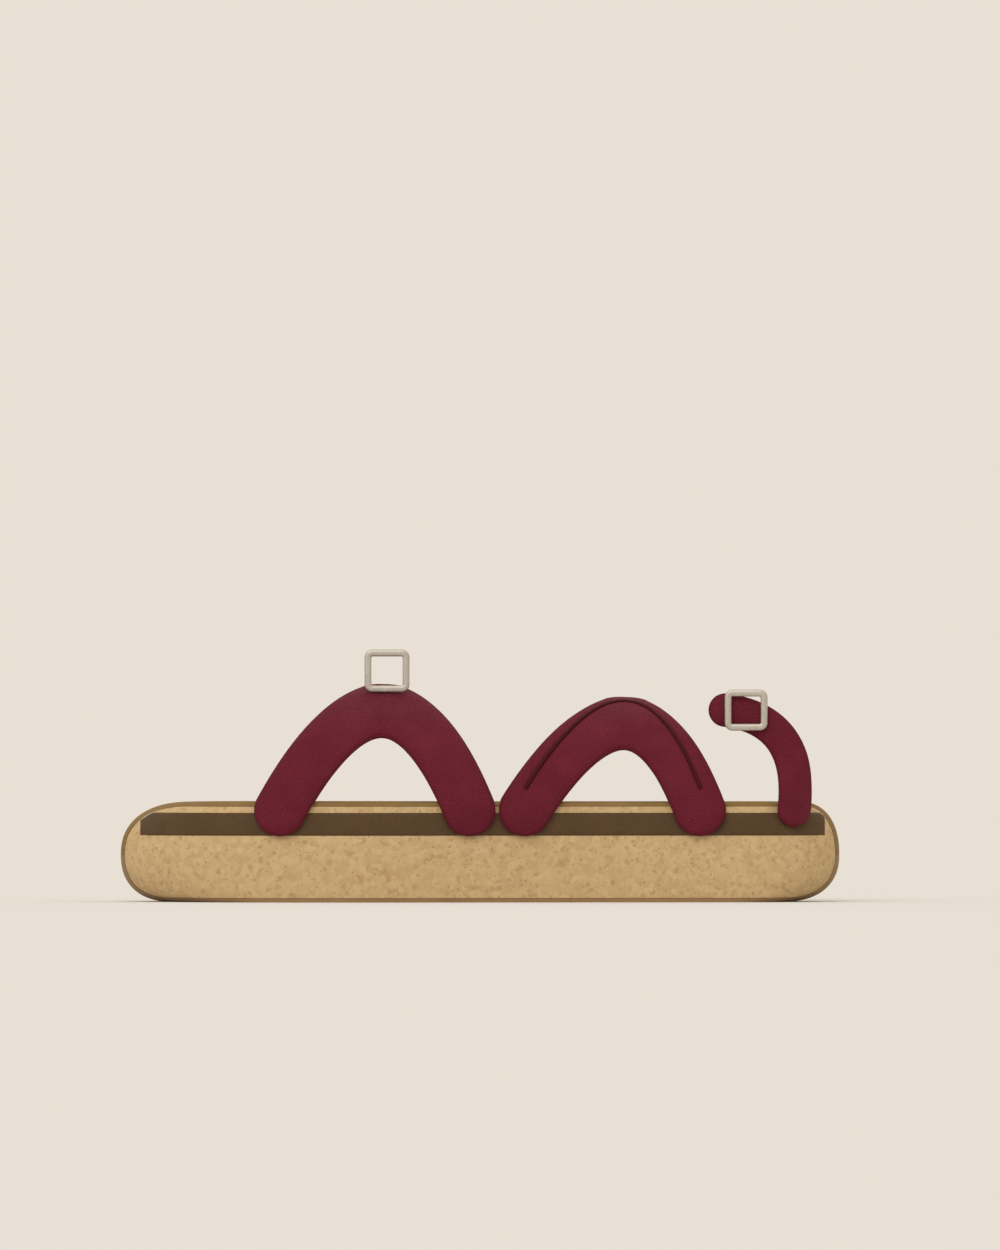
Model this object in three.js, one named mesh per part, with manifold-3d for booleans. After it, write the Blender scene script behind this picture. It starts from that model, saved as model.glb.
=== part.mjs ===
// A left sport sandal: a cork sole between a thin outsole and a dished footbed cover, a dark rand let
// into each side, two arched straps over the foot, and a heel strap loop swung forward.
// Millimetres, +Z up. The toe points along -X, the outer (lateral) side faces -Y, the sole stands on z = 0.

import * as THREE from "three";
import { mergeVertices } from "three/addons/utils/BufferGeometryUtils.js";
import Module from "manifold-3d";

const wasm = await Module();
wasm.setup();
const { clamp, lerp, smoothstep } = THREE.MathUtils;
const LATERAL = -1;
const MEDIAL = 1;

// Driving dimensions
const SOLE_LENGTH = 270;
const SOLE_HEIGHT = 37.5;
const GAP = 0.3; // left between pieces that meet
const SHEET = 1.5; // thickness of the outsole and of the footbed cover
const EDGE_LIP = 0.5; // blunt height that the thin layers keep at toe and heel

// Side outline: toe and heel are bull-nosed, and both reach furthest at the nose height.
const NOSE_HEIGHT = 17.6;
const ROLL_POWER = 2.3;
// How far each end is drawn in at the rim and at the floor, and over what length.
const TOE_ROLL = { above: 26.2, below: 18.8, span: 80 };
const HEEL_ROLL = { above: 15, below: 20.6, span: 60 };
const WALL_TAPER = 1.2; // how far the wall leans in from the nose height down to the floor

// Plan outline: half widths from the long axis, by distance from the heel as a share of the length.
const PLAN = [
  { share: 0.0, lateral: 33, medial: 33 },
  { share: 0.16, lateral: 34.5, medial: 34 },
  { share: 0.4, lateral: 39, medial: 33 },
  { share: 0.58, lateral: 45.5, medial: 39.5 },
  { share: 0.7, lateral: 48.5, medial: 46.5 },
  { share: 0.85, lateral: 44.5, medial: 48.5 },
  { share: 1.0, lateral: 35, medial: 43 },
];
const TOE_ROUND = 54; // length of the rounded toe in plan
const HEEL_ROUND = 37;
const PLAN_POWER = 2.1;

// Footbed: depth of the dish under the rim, and the rises in it.
const DISH = [
  { share: 0.0, depth: 8.5 },
  { share: 0.18, depth: 9 },
  { share: 0.42, depth: 6.5 },
  { share: 0.7, depth: 5 },
  { share: 1.0, depth: 4.5 },
];
const RIM = 4; // flat width of the rim
const RIM_SLOPE = 17; // width over which the dish falls to its floor
const ARCH_SUPPORT = { share: 0.43, reach: 0.2, rise: 4.5, inset: 6, width: 30 };
const BALL_PAD = { share: 0.58, reach: 0.09, rise: 2, width: 22 };
const TOE_BAR = { share: 0.8, reach: 0.045, rise: 2.2, width: 34 };

// Rand: the dark strip along each side.
const RAND = { toeEnd: -127.5, heelEnd: 129.4, low: 25.1, high: 33.4, depth: 1.2, proud: 0.4, lip: 1.2 };

// Last under the straps: its ridge, and the height of the straps' edges there.
const LAST = [
  { share: 0.1, ridge: 1, crown: 74.6 },
  { share: 0.3, ridge: 2.5, crown: 75.1 },
  { share: 0.636, ridge: 6, crown: 79.95 },
  { share: 0.9, ridge: 6, crown: 79 },
];
const LAST_SPRING = 33; // above this height the sides of the last lean in
const LAST_POWER = 2.25;

// Straps: an arch seen from the side, from its front foot over a peak to its rear foot.
const STRAP = { halfWidth: 9.75, wall: 1.8, pad: 1.8, roll: 7, foot: 34.5 };
const FOREFOOT_ARCH = { front: -75, peak: -34.1, rear: -3.8, rise: 37.5 };
const INSTEP_ARCH = { front: 16.9, peak: 58.1, rear: 82.5, rise: 32.8 };
const SEAM = { lift: 8.25, halfWidth: 0.9, depth: 0.7 }; // stitched line on the instep strap

// Heel strap: a hook from the sole forward to its tip, and a loop that closes it in front.
const HEEL_HOOK = { foot: 118.15, bend: 121.5, bendLevel: 68.1, tip: 91.95, level: 72, halfWidth: 6.3 };
const HEEL_STRAP = { wall: 1.6, pad: 1.2, roll: 4.5 };
const HEEL_ARM = { reach: 29.5, blend: 20 }; // where the arms stand, and how far up they take to get there
const HEEL_LOOP = {
  start: 99,
  front: 88.6,
  end: 103,
  halfWidth: 4.1,
  power: 3,
  wall: 1.6,
  pad: 0.6,
  roll: 3,
};

// Buckle frames
const BUCKLE = { bar: 2.6, depth: 2.2, corner: 3, innerCorner: 0.6, bevel: 0.5 };
const FOREFOOT_BUCKLE = { x: -34.9, low: 78.6, width: 16.9, height: 16.1 };
const HEEL_BUCKLE = { x: 99.75, middle: 72, width: 16.1, height: 15.4 };

const TOE = -SOLE_LENGTH / 2;
const HEEL = SOLE_LENGTH / 2;
const CORK_INSET = SHEET + GAP;
const STRAP_STANDOFF = RAND.proud + 1.5 * GAP + STRAP.wall;
const HEEL_STANDOFF = RAND.proud + GAP + HEEL_STRAP.wall;

// Mesh fineness
const STATIONS = 32;
const BED_COLUMNS = [0, 0.06, 0.13, 0.21, 0.32, 0.5, 0.68, 0.79, 0.87, 0.94, 1];
const FLAT_COLUMNS = [0, 0.5, 1];
const LEVEL_SHARES = [0, 0.25, 0.46, 0.64, 0.79, 0.9, 0.97, 1]; // rings of the wall, nose to rim or floor
const SPARE = 12; // how far cutting shapes reach past the sole
const LEG_ROWS = 8;
const BRIDGE_ROWS = 8;
const CAP_ROWS = 4;
const LOOP_ROWS = 16;

const COLOURS = {
  cork: { color: 0xc0a071, roughness: 0.9 },
  rubber: { color: 0x8a6a45, roughness: 0.8 },
  bed: { color: 0x876e43, roughness: 0.85 },
  rand: { color: 0x59442f, roughness: 0.7 },
  strap: { color: 0x68252f, roughness: 0.85 },
  metal: { color: 0xb8ad9b, roughness: 0.4, metalness: 0.9 },
};

// Smooth cubic interpolation of one column of a table, by its share column.
function tableAt(table, column, share) {
  const last = table.length - 1;
  const slope = (i) => {
    const a = table[Math.max(i - 1, 0)];
    const b = table[Math.min(i + 1, last)];
    return (b[column] - a[column]) / (b.share - a.share);
  };
  const at = clamp(share, table[0].share, table[last].share);
  const i = clamp(table.findIndex((row) => row.share >= at) - 1, 0, last - 1);
  const span = table[i + 1].share - table[i].share;
  const t = (at - table[i].share) / span;
  const ease = t * t * (3 - 2 * t);
  const bend = t * (1 - t) * span;
  const straight = lerp(table[i][column], table[i + 1][column], ease);
  return straight + bend * ((1 - t) * slope(i) - t * slope(i + 1));
}

// Share of the length from the heel.
const shareAt = (x) => (HEEL - x) / SOLE_LENGTH;

// A rounded end: 0 at the end itself, 1 from `length` inwards, along a superellipse.
function roundedEnd(distance, length, power) {
  const out = clamp(1 - distance / length, 0, 1);
  return (1 - out ** power) ** (1 / power);
}

// How far a rolled end has drawn in at a height.
function drawIn(roll, z) {
  const part = z > NOSE_HEIGHT ? "above" : "below";
  const reach = z > NOSE_HEIGHT ? SOLE_HEIGHT - NOSE_HEIGHT : NOSE_HEIGHT;
  return roll[part] * (1 - roundedEnd(reach - Math.abs(z - NOSE_HEIGHT), reach, ROLL_POWER));
}

// The outline at a height is the outline at the nose with its ends pushed in, most at the tips.
const pushedIn = (distance, push, span) => distance + push * Math.max(1 - distance / span, 0) ** 2;

// The other way round: the distance from the tip at the nose that is pushed to a given distance.
function pulledOut(distance, push, span) {
  if (distance >= span || push === 0) return distance;
  const a = push / span ** 2;
  const b = 1 - (2 * push) / span;
  return (Math.sqrt(Math.max(b * b - 4 * a * (push - distance), 0)) - b) / (2 * a);
}

// Half width of the sole at its nose height, on one side.
function noseHalfWidth(x, side) {
  const width = tableAt(PLAN, side === LATERAL ? "lateral" : "medial", shareAt(x));
  return width * roundedEnd(x - TOE, TOE_ROUND, PLAN_POWER) * roundedEnd(HEEL - x, HEEL_ROUND, PLAN_POWER);
}

const wallTaper = (z) => WALL_TAPER * clamp(1 - z / NOSE_HEIGHT, 0, 1);

// Half width of the sole at any height.
function halfWidth(x, side, z = NOSE_HEIGHT) {
  const fromToe = pulledOut(x - TOE, drawIn(TOE_ROLL, z), TOE_ROLL.span);
  const fromHeel = pulledOut(HEEL - x, drawIn(HEEL_ROLL, z), HEEL_ROLL.span);
  const station = x < 0 ? TOE + fromToe : HEEL - fromHeel;
  return Math.max(noseHalfWidth(station, side) - wallTaper(z), 0);
}

// Half width moved outwards by a distance measured square to the outline.
function wallOut(x, side, distance, z = NOSE_HEIGHT) {
  const step = 0.5;
  const slope = (halfWidth(x + step, side, z) - halfWidth(x - step, side, z)) / (2 * step);
  return halfWidth(x, side, z) + distance * Math.hypot(1, slope);
}

// Height of the side outline over or under the nose, with all of it set in by `inset`.
function sideRoll(x, part, height, inset) {
  const toe = roundedEnd(x - TOE - inset, TOE_ROLL[part] - inset, ROLL_POWER);
  const heel = roundedEnd(HEEL - x - inset, HEEL_ROLL[part] - inset, ROLL_POWER);
  return (height - inset) * Math.min(toe, heel);
}
const rimRise = (x, inset) => sideRoll(x, "above", SOLE_HEIGHT - NOSE_HEIGHT, inset);
const floorDrop = (x, inset) => sideRoll(x, "below", NOSE_HEIGHT, inset);

// A soft hump of height 1 at 0 that ends at +-reach.
const hump = (away, reach) => 1 - smoothstep(Math.abs(away), 0, reach);

// Depth of the footbed under the rim.
function dish(x, y) {
  const share = shareAt(x);
  const lateralRim = halfWidth(x, LATERAL, SOLE_HEIGHT);
  const medialRim = halfWidth(x, MEDIAL, SOLE_HEIGHT);
  const inLateral = smoothstep(lateralRim + y, RIM, RIM + RIM_SLOPE);
  const inMedial = smoothstep(medialRim - y, RIM, RIM + RIM_SLOPE);
  const inHeel = smoothstep(HEEL - HEEL_ROLL.above - x, RIM, RIM + RIM_SLOPE);
  const inToe = smoothstep(x - TOE - TOE_ROLL.above, RIM, RIM + 1.6 * RIM_SLOPE);
  const floor = tableAt(DISH, "depth", share) * inLateral * inMedial * inHeel * inToe;
  const archSide = hump(medialRim - ARCH_SUPPORT.inset - y, ARCH_SUPPORT.width);
  const arch = ARCH_SUPPORT.rise * hump(share - ARCH_SUPPORT.share, ARCH_SUPPORT.reach) * archSide;
  const pad = BALL_PAD.rise * hump(share - BALL_PAD.share, BALL_PAD.reach) * hump(y, BALL_PAD.width);
  const bar = TOE_BAR.rise * hump(share - TOE_BAR.share, TOE_BAR.reach) * hump(y, TOE_BAR.width);
  return Math.max(floor - (arch + pad + bar) * inLateral * inMedial, 0);
}

// A geometry from points and triangles, with shared points merged and empty triangles dropped.
function meshOf(points, triangles) {
  const loose = new THREE.BufferGeometry().setFromPoints(points).setIndex(triangles.flat());
  const merged = mergeVertices(loose, 1e-3);
  const index = merged.index.array;
  const kept = [];
  for (let i = 0; i < index.length; i += 3) {
    const [a, b, c] = index.subarray(i, i + 3);
    if (a !== b && b !== c && c !== a) kept.push(a, b, c);
  }
  merged.setIndex(kept);
  merged.computeVertexNormals();
  return merged;
}

// Stations along the sole, closer together towards its ends.
function stations(from, to) {
  const middle = (from + to) / 2;
  const half = (to - from) / 2;
  return Array.from({ length: STATIONS + 1 }, (_, k) => middle - half * Math.cos((Math.PI * k) / STATIONS));
}

// The whole sole: rings of the outline at each level, closed by the dished footbed and the floor.
function soleBody() {
  const nose = stations(TOE, HEEL);
  const points = [];
  const ringPoint = (x, side, z) => {
    const fromToe = pushedIn(x - TOE, drawIn(TOE_ROLL, z), TOE_ROLL.span);
    const fromHeel = pushedIn(HEEL - x, drawIn(HEEL_ROLL, z), HEEL_ROLL.span);
    const y = side * Math.max(noseHalfWidth(x, side) - wallTaper(z), 0);
    return new THREE.Vector3(x < 0 ? TOE + fromToe : HEEL - fromHeel, y, z);
  };
  const levels = [
    ...LEVEL_SHARES.map((share) => NOSE_HEIGHT * (1 - share)).reverse(),
    ...LEVEL_SHARES.slice(1).map((share) => lerp(NOSE_HEIGHT, SOLE_HEIGHT, share)),
  ];
  const keep = (point) => points.push(point) - 1;
  const wall = (side) => levels.map((z) => nose.map((x) => keep(ringPoint(x, side, z))));
  const walls = { lateral: wall(LATERAL), medial: wall(MEDIAL) };
  const face = (level, columns, heightOf) =>
    nose.map((x) => {
      const from = ringPoint(x, LATERAL, levels[level]);
      const to = ringPoint(x, MEDIAL, levels[level]);
      return columns.map((column) => {
        const point = from.clone().lerp(to, column);
        return keep(point.setZ(heightOf(point.x, point.y)));
      });
    });
  const top = face(levels.length - 1, BED_COLUMNS, (x, y) => SOLE_HEIGHT - dish(x, y));
  const bottom = face(0, FLAT_COLUMNS, () => 0);
  const triangles = [];
  const strip = (rows, turned) => {
    for (let i = 0; i + 1 < rows.length; i++) {
      for (let j = 0; j + 1 < rows[i].length; j++) {
        const [a, b, c, d] = [rows[i][j], rows[i + 1][j], rows[i + 1][j + 1], rows[i][j + 1]];
        triangles.push(...(turned ? [[a, c, b], [a, d, c]] : [[a, b, c], [a, c, d]]));
      }
    }
  };
  strip(top, false);
  strip(bottom, true);
  strip(walls.lateral, true);
  strip(walls.medial, false);
  return meshOf(points, triangles);
}

// The space inside the thin layers: the side outline set in by `inset`, wider than the sole, dished too.
function innerSpace(inset) {
  const xs = stations(TOE + inset, HEEL - inset);
  const points = [];
  const face = (heightOf) =>
    xs.map((x) => {
      const [lateral, medial] = [halfWidth(x, LATERAL), halfWidth(x, MEDIAL)];
      const bed = BED_COLUMNS.map((c) => lerp(-lateral - 0.5, medial + 0.5, c));
      const ys = [-lateral - SPARE, ...bed, medial + SPARE];
      return ys.map((y) => points.push(new THREE.Vector3(x, y, heightOf(x, y))) - 1);
    });
  const top = face((x, y) => NOSE_HEIGHT + Math.max(rimRise(x, inset) - dish(x, y), EDGE_LIP / 2));
  const bottom = face((x) => NOSE_HEIGHT - Math.max(floorDrop(x, inset), EDGE_LIP / 2));
  const triangles = [];
  const quad = (a, b, c, d) => triangles.push([a, b, c], [a, c, d]);
  const lastStation = xs.length - 1;
  const lastColumn = top[0].length - 1;
  for (let k = 0; k < lastStation; k++) {
    for (let j = 0; j < lastColumn; j++) {
      quad(top[k][j], top[k + 1][j], top[k + 1][j + 1], top[k][j + 1]);
      quad(bottom[k][j], bottom[k][j + 1], bottom[k + 1][j + 1], bottom[k + 1][j]);
    }
    quad(bottom[k][0], bottom[k + 1][0], top[k + 1][0], top[k][0]);
    quad(top[k][lastColumn], top[k + 1][lastColumn], bottom[k + 1][lastColumn], bottom[k][lastColumn]);
  }
  for (let j = 0; j < lastColumn; j++) {
    quad(bottom[0][j], top[0][j], top[0][j + 1], bottom[0][j + 1]);
    quad(top[lastStation][j], bottom[lastStation][j], bottom[lastStation][j + 1], top[lastStation][j + 1]);
  }
  return meshOf(points, triangles);
}

// All that lies above, or below, the seam between footbed cover and outsole at toe and heel.
function halfSpace(sign) {
  const box = new THREE.BoxGeometry(2 * SOLE_LENGTH, SOLE_LENGTH, SOLE_LENGTH);
  return box.translate(0, 0, NOSE_HEIGHT + sign * (SOLE_LENGTH / 2 + GAP / 2));
}

// The footbed cover and the outsole are what the sole has outside the inner space, above and below.
function thinLayer(sign) {
  const shell = solidOf(soleBody()).subtract(solidOf(innerSpace(SHEET)));
  return geometryOf(shell.intersect(solidOf(halfSpace(sign))));
}

// A band along one side of the sole between two distances from its wall.
function sideBand(side, { from, to, low, high, inner, outer }) {
  const xs = stations(from, to);
  const points = [];
  const ringAt = (x) => {
    const top = Math.min(high, NOSE_HEIGHT + rimRise(x, CORK_INSET) - RAND.lip - (RAND.high - high));
    const corners = [[-inner, low], [outer, low], [outer, top], [-inner, top]];
    return corners.map(([out, z]) => {
      const y = side * wallOut(x, side, out, z);
      return points.push(new THREE.Vector3(x, y, z)) - 1;
    });
  };
  const rings = xs.map(ringAt);
  const triangles = [];
  const quad = (a, b, c, d) => {
    const turned = side === LATERAL ? [d, c, b, a] : [a, b, c, d];
    triangles.push([turned[0], turned[1], turned[2]], [turned[0], turned[2], turned[3]]);
  };
  for (let k = 0; k + 1 < rings.length; k++) {
    for (let j = 0; j < 4; j++) {
      const next = (j + 1) % 4;
      quad(rings[k][j], rings[k][next], rings[k + 1][next], rings[k + 1][j]);
    }
  }
  quad(...rings[0].toReversed());
  quad(...rings[rings.length - 1]);
  return meshOf(points, triangles);
}

function rand(side) {
  return sideBand(side, {
    from: RAND.toeEnd,
    to: RAND.heelEnd,
    low: RAND.low,
    high: RAND.high,
    inner: RAND.depth,
    outer: RAND.proud,
  });
}

// The space that a rand takes out of the cork, with clearance all round.
function randGroove(side) {
  return sideBand(side, {
    from: RAND.toeEnd - GAP,
    to: RAND.heelEnd + GAP,
    low: RAND.low - GAP,
    high: RAND.high + GAP,
    inner: RAND.depth + GAP,
    outer: RAND.proud + 2,
  });
}

function solidOf(geometry) {
  const bare = new THREE.BufferGeometry();
  bare.setAttribute("position", geometry.attributes.position);
  bare.setIndex(geometry.index);
  const plain = mergeVertices(bare, 1e-3);
  return new wasm.Manifold(
    new wasm.Mesh({
      numProp: 3,
      vertProperties: plain.attributes.position.array,
      triVerts: new Uint32Array(plain.index.array),
    }),
  );
}

function geometryOf(solid) {
  const mesh = solid.getMesh();
  const geometry = new THREE.BufferGeometry();
  geometry.setAttribute("position", new THREE.BufferAttribute(mesh.vertProperties, mesh.numProp));
  geometry.setIndex(new THREE.BufferAttribute(mesh.triVerts, 1));
  geometry.computeVertexNormals();
  return geometry;
}

function groovedCork() {
  let cork = solidOf(soleBody()).intersect(solidOf(innerSpace(CORK_INSET)));
  for (const side of [LATERAL, MEDIAL]) cork = cork.subtract(solidOf(randGroove(side)));
  return geometryOf(cork);
}

// The last at a station: angle 0 is the spring of its side, a right angle the ridge, below 0 the wall.
function lastPoint(x, angle, side) {
  const share = shareAt(x);
  const ridge = tableAt(LAST, "ridge", share);
  const rise = tableAt(LAST, "crown", share) - LAST_SPRING;
  const wall = side * wallOut(x, side, STRAP_STANDOFF);
  const lean = angle > 0 ? Math.max(Math.cos(angle), 0) ** (2 / LAST_POWER) : 1;
  const lift = angle > 0 ? Math.sin(angle) : angle;
  return new THREE.Vector3(x, lerp(ridge, wall, lean), LAST_SPRING + rise * lift);
}

// The angle at which the last has a given height.
function lastAngle(x, z) {
  const up = (z - LAST_SPRING) / (tableAt(LAST, "crown", shareAt(x)) - LAST_SPRING);
  return up > 0 ? Math.asin(Math.min(up, 1)) : up;
}

// One row across a strap drawn from the side: its right and left edge, looking along the path.
function rowAt(path, t, halfWidthHere, ahead = 0) {
  const along = path.getTangent(t);
  const left = new THREE.Vector2(-along.y, along.x);
  const middle = path.getPoint(t).addScaledVector(along, ahead);
  const edge = (sign) => middle.clone().addScaledVector(left, sign * halfWidthHere);
  return { right: edge(-1), left: edge(1), t };
}

// The rows of a strap's round end, from its tip to the path's own end, or the other way at the far end.
function capRows(path, t, radius) {
  const rows = [];
  for (let i = 0; i < CAP_ROWS; i++) {
    const turn = (Math.PI / 2) * (1 - i / CAP_ROWS);
    const ahead = radius * Math.sin(turn) * (t === 0 ? -1 : 1);
    rows.push(rowAt(path, t, radius * Math.cos(turn), ahead));
  }
  return t === 0 ? rows : rows.reverse();
}

// Evenly spaced values from a to b, without b.
const spaced = (a, b, count) => Array.from({ length: count }, (_, i) => lerp(a, b, i / count));

const archPath = ({ front, peak, rear, rise }, lift = 0) =>
  new THREE.QuadraticBezierCurve(
    new THREE.Vector2(front, STRAP.foot + lift),
    new THREE.Vector2(peak, STRAP.foot + lift + 2 * rise),
    new THREE.Vector2(rear, STRAP.foot + lift),
  );

// Where on the path, between t = a and t = b, the strap's outer edge passes the ridge of the last.
function ridgeCrossing(path, a, b) {
  const above = (t) => {
    const edge = rowAt(path, t, STRAP.halfWidth).left;
    return edge.y > tableAt(LAST, "crown", shareAt(edge.x));
  };
  let [low, high] = [a, b];
  for (let i = 0; i < 40; i++) {
    const middle = (low + high) / 2;
    if (above(middle) === above(a)) low = middle;
    else high = middle;
  }
  return (low + high) / 2;
}

// Where the seam lies across a row, from -1 at the right edge to 1 at the left edge, by angle on the last.
function seamColumn(seam, row) {
  const point = seam.getPoint(row.t);
  const leaning = Math.max(lastAngle(point.x, point.y), 0) / (Math.PI / 2);
  const angle = lastAngle(point.x, point.y - STRAP.pad * leaning);
  const from = lastAngle(row.right.x, row.right.y);
  const to = lastAngle(row.left.x, row.left.y);
  return clamp(lerp(-1, 1, (angle - from) / (to - from)), -0.4, 0.8);
}

// One side of an arched strap as rows of points on the last.
function archPatch(arch, side, columnsOf) {
  const path = archPath(arch);
  const front = ridgeCrossing(path, 0, 0.5);
  const rear = ridgeCrossing(path, 1, 0.5);
  const legs = [spaced(0, front, LEG_ROWS), [...spaced(rear, 1, LEG_ROWS), 1]];
  const ts = [...legs[0], ...spaced(front, rear, BRIDGE_ROWS), ...legs[1]];
  const body = ts.map((t) => rowAt(path, t, STRAP.halfWidth));
  const rows = [...capRows(path, 0, STRAP.halfWidth), ...body, ...capRows(path, 1, STRAP.halfWidth)];
  return rows.map((row) => {
    const from = lastAngle(row.right.x, row.right.y);
    const to = lastAngle(row.left.x, row.left.y);
    return columnsOf(row).map(({ across, relief }) => {
      const share = (across + 1) / 2;
      const point = lastPoint(lerp(row.right.x, row.left.x, share), lerp(from, to, share), side);
      return { point, relief };
    });
  });
}

const PLAIN_COLUMNS = [-1, -0.6, 0, 0.6, 1].map((across) => ({ across, relief: 0 }));

// A padded strap with its true wall: patches on its edge surface, thickened inwards, swelling outwards.
function paddedStrap(patches, { wall, pad, roll }) {
  const sheetPoints = [];
  const reliefs = [];
  const triangles = [];
  for (const { rows, side } of patches) {
    const addPoint = ({ point, relief }) => {
      reliefs.push(relief);
      return sheetPoints.push(point) - 1;
    };
    const ids = rows.map((row) => row.map(addPoint));
    for (let i = 0; i + 1 < ids.length; i++) {
      for (let j = 0; j + 1 < ids[i].length; j++) {
        const [a, b, c, d] = [ids[i][j], ids[i + 1][j], ids[i + 1][j + 1], ids[i][j + 1]];
        triangles.push(...(side === LATERAL ? [[a, b, c], [a, c, d]] : [[a, c, b], [a, d, c]]));
      }
    }
  }
  const sheet = meshOf(sheetPoints, triangles);
  return thicken(sheet, reliefAt(sheetPoints, reliefs), { wall, pad, roll });
}

// Looks up the relief of a point by its place.
function reliefAt(points, reliefs) {
  const key = (p) => [p.x, p.y, p.z].map((v) => v.toFixed(2)).join(" ");
  const table = new Map(points.map((p, i) => [key(p), reliefs[i]]));
  return (p) => table.get(key(p)) ?? 0;
}

function thicken(sheet, reliefOf, { wall, pad, roll }) {
  const index = sheet.index.array;
  const count = sheet.attributes.position.count;
  const point = (i) => new THREE.Vector3().fromBufferAttribute(sheet.attributes.position, i);
  const normal = (i) => new THREE.Vector3().fromBufferAttribute(sheet.attributes.normal, i);
  const edges = new Map();
  for (let i = 0; i < index.length; i += 3) {
    for (let j = 0; j < 3; j++) {
      const [a, b] = [index[i + j], index[i + ((j + 1) % 3)]];
      if (!edges.delete(`${b} ${a}`)) edges.set(`${a} ${b}`, [a, b]);
    }
  }
  const rim = [...edges.values()];
  const rimLines = rim.map(([a, b]) => new THREE.Line3(point(a), point(b)));
  const nearest = new THREE.Vector3();
  const toLine = (line, p) => line.closestPointToPoint(p, true, nearest).distanceTo(p);
  const fromRim = (p) => Math.min(...rimLines.map((line) => toLine(line, p)));
  const outer = [];
  const inner = [];
  for (let i = 0; i < count; i++) {
    const p = point(i);
    const near = 1 - clamp(fromRim(p) / roll, 0, 1);
    const swell = pad * Math.sqrt(1 - near * near) - reliefOf(p);
    outer.push(p.clone().addScaledVector(normal(i), swell));
    inner.push(p.clone().addScaledVector(normal(i), -wall));
  }
  const triangles = [];
  for (let i = 0; i < index.length; i += 3) {
    const [a, b, c] = index.slice(i, i + 3);
    triangles.push([a, b, c], [a + count, c + count, b + count]);
  }
  for (const [a, b] of rim) triangles.push([b, a, a + count], [b, a + count, b + count]);
  return meshOf([...outer, ...inner], triangles);
}

function forefootStrap() {
  const patch = (side) => ({ side, rows: archPatch(FOREFOOT_ARCH, side, () => PLAIN_COLUMNS) });
  return paddedStrap([patch(LATERAL), patch(MEDIAL)], STRAP);
}

// The instep strap has a sunk seam that starts and ends on its legs and runs under its top edge.
function instepStrap() {
  const seam = archPath(INSTEP_ARCH, SEAM.lift);
  const columnsOf = (row) => {
    const middle = seamColumn(seam, row);
    const side = SEAM.halfWidth / STRAP.halfWidth;
    const onSeam = row.t > 0 && row.t < 1;
    return [
      { across: -1, relief: 0 },
      { across: lerp(-1, middle, 0.5), relief: 0 },
      { across: middle - side, relief: 0 },
      { across: middle, relief: onSeam ? SEAM.depth : 0 },
      { across: middle + side, relief: 0 },
      { across: 1, relief: 0 },
    ];
  };
  const patch = (side) => ({ side, rows: archPatch(INSTEP_ARCH, side, columnsOf) });
  return paddedStrap([patch(LATERAL), patch(MEDIAL)], STRAP);
}

// A point of the heel strap's arms: on the sole's wall at the foot, upright and parallel higher up.
function heelPoint(x, z, side) {
  const up = smoothstep(z, SOLE_HEIGHT, SOLE_HEIGHT + HEEL_ARM.blend);
  const wall = wallOut(x, side, HEEL_STANDOFF, STRAP.foot - HEEL_HOOK.halfWidth);
  return new THREE.Vector3(x, side * lerp(wall, HEEL_ARM.reach, up), z);
}

const hookPath = () =>
  new THREE.QuadraticBezierCurve(
    new THREE.Vector2(HEEL_HOOK.foot, STRAP.foot),
    new THREE.Vector2(HEEL_HOOK.bend, HEEL_HOOK.bendLevel),
    new THREE.Vector2(HEEL_HOOK.tip, HEEL_HOOK.level),
  );

const heelRow = (row, side) =>
  PLAIN_COLUMNS.map(({ across, relief }) => {
    const place = row.right.clone().lerp(row.left, (across + 1) / 2);
    return { point: heelPoint(place.x, place.y, side), relief };
  });

function heelStrapLateral() {
  const path = hookPath();
  const body = [...spaced(0, 1, 2 * LEG_ROWS), 1].map((t) => rowAt(path, t, HEEL_HOOK.halfWidth));
  const caps = [0, 1].map((t) => capRows(path, t, HEEL_HOOK.halfWidth));
  const rows = [...caps[0], ...body, ...caps[1]].map((row) => heelRow(row, LATERAL));
  return paddedStrap([{ rows, side: LATERAL }], HEEL_STRAP);
}

// The medial arm rises like the lateral one, narrows, turns across and runs back inside the lateral arm.
function heelStrapMedial() {
  const path = hookPath();
  let turnsAt = 0;
  while (path.getPoint(turnsAt).x > HEEL_LOOP.start) turnsAt += 0.002;
  const arm = spaced(0, turnsAt, 2 * LEG_ROWS).map((t) => {
    const width = lerp(HEEL_HOOK.halfWidth, HEEL_LOOP.halfWidth, smoothstep(t, 0.3 * turnsAt, turnsAt));
    return heelRow(rowAt(path, t, width), MEDIAL);
  });
  const foot = capRows(path, 0, HEEL_HOOK.halfWidth).map((row) => heelRow(row, MEDIAL));
  const level = path.getPoint(turnsAt).y;
  const inside = HEEL_ARM.reach - HEEL_STRAP.wall - GAP - HEEL_LOOP.pad;
  const across = (x, y) =>
    PLAIN_COLUMNS.map((column) => ({
      point: new THREE.Vector3(x, y, level - column.across * HEEL_LOOP.halfWidth),
      relief: 0,
    }));
  const loop = Array.from({ length: LOOP_ROWS + 1 }, (_, i) => {
    const turn = lerp(Math.PI / 2, -Math.PI / 2, i / LOOP_ROWS);
    const forward = Math.max(Math.cos(turn), 0) ** (2 / HEEL_LOOP.power);
    const outward = Math.sign(turn) * Math.abs(Math.sin(turn)) ** (2 / HEEL_LOOP.power);
    const reach = turn > 0 ? HEEL_ARM.reach : inside;
    return across(lerp(HEEL_LOOP.start, HEEL_LOOP.front, forward), reach * outward);
  });
  const rows = [...foot, ...arm, ...loop, across(HEEL_LOOP.end, -inside)];
  return paddedStrap([{ rows, side: MEDIAL }], HEEL_LOOP);
}

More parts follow.
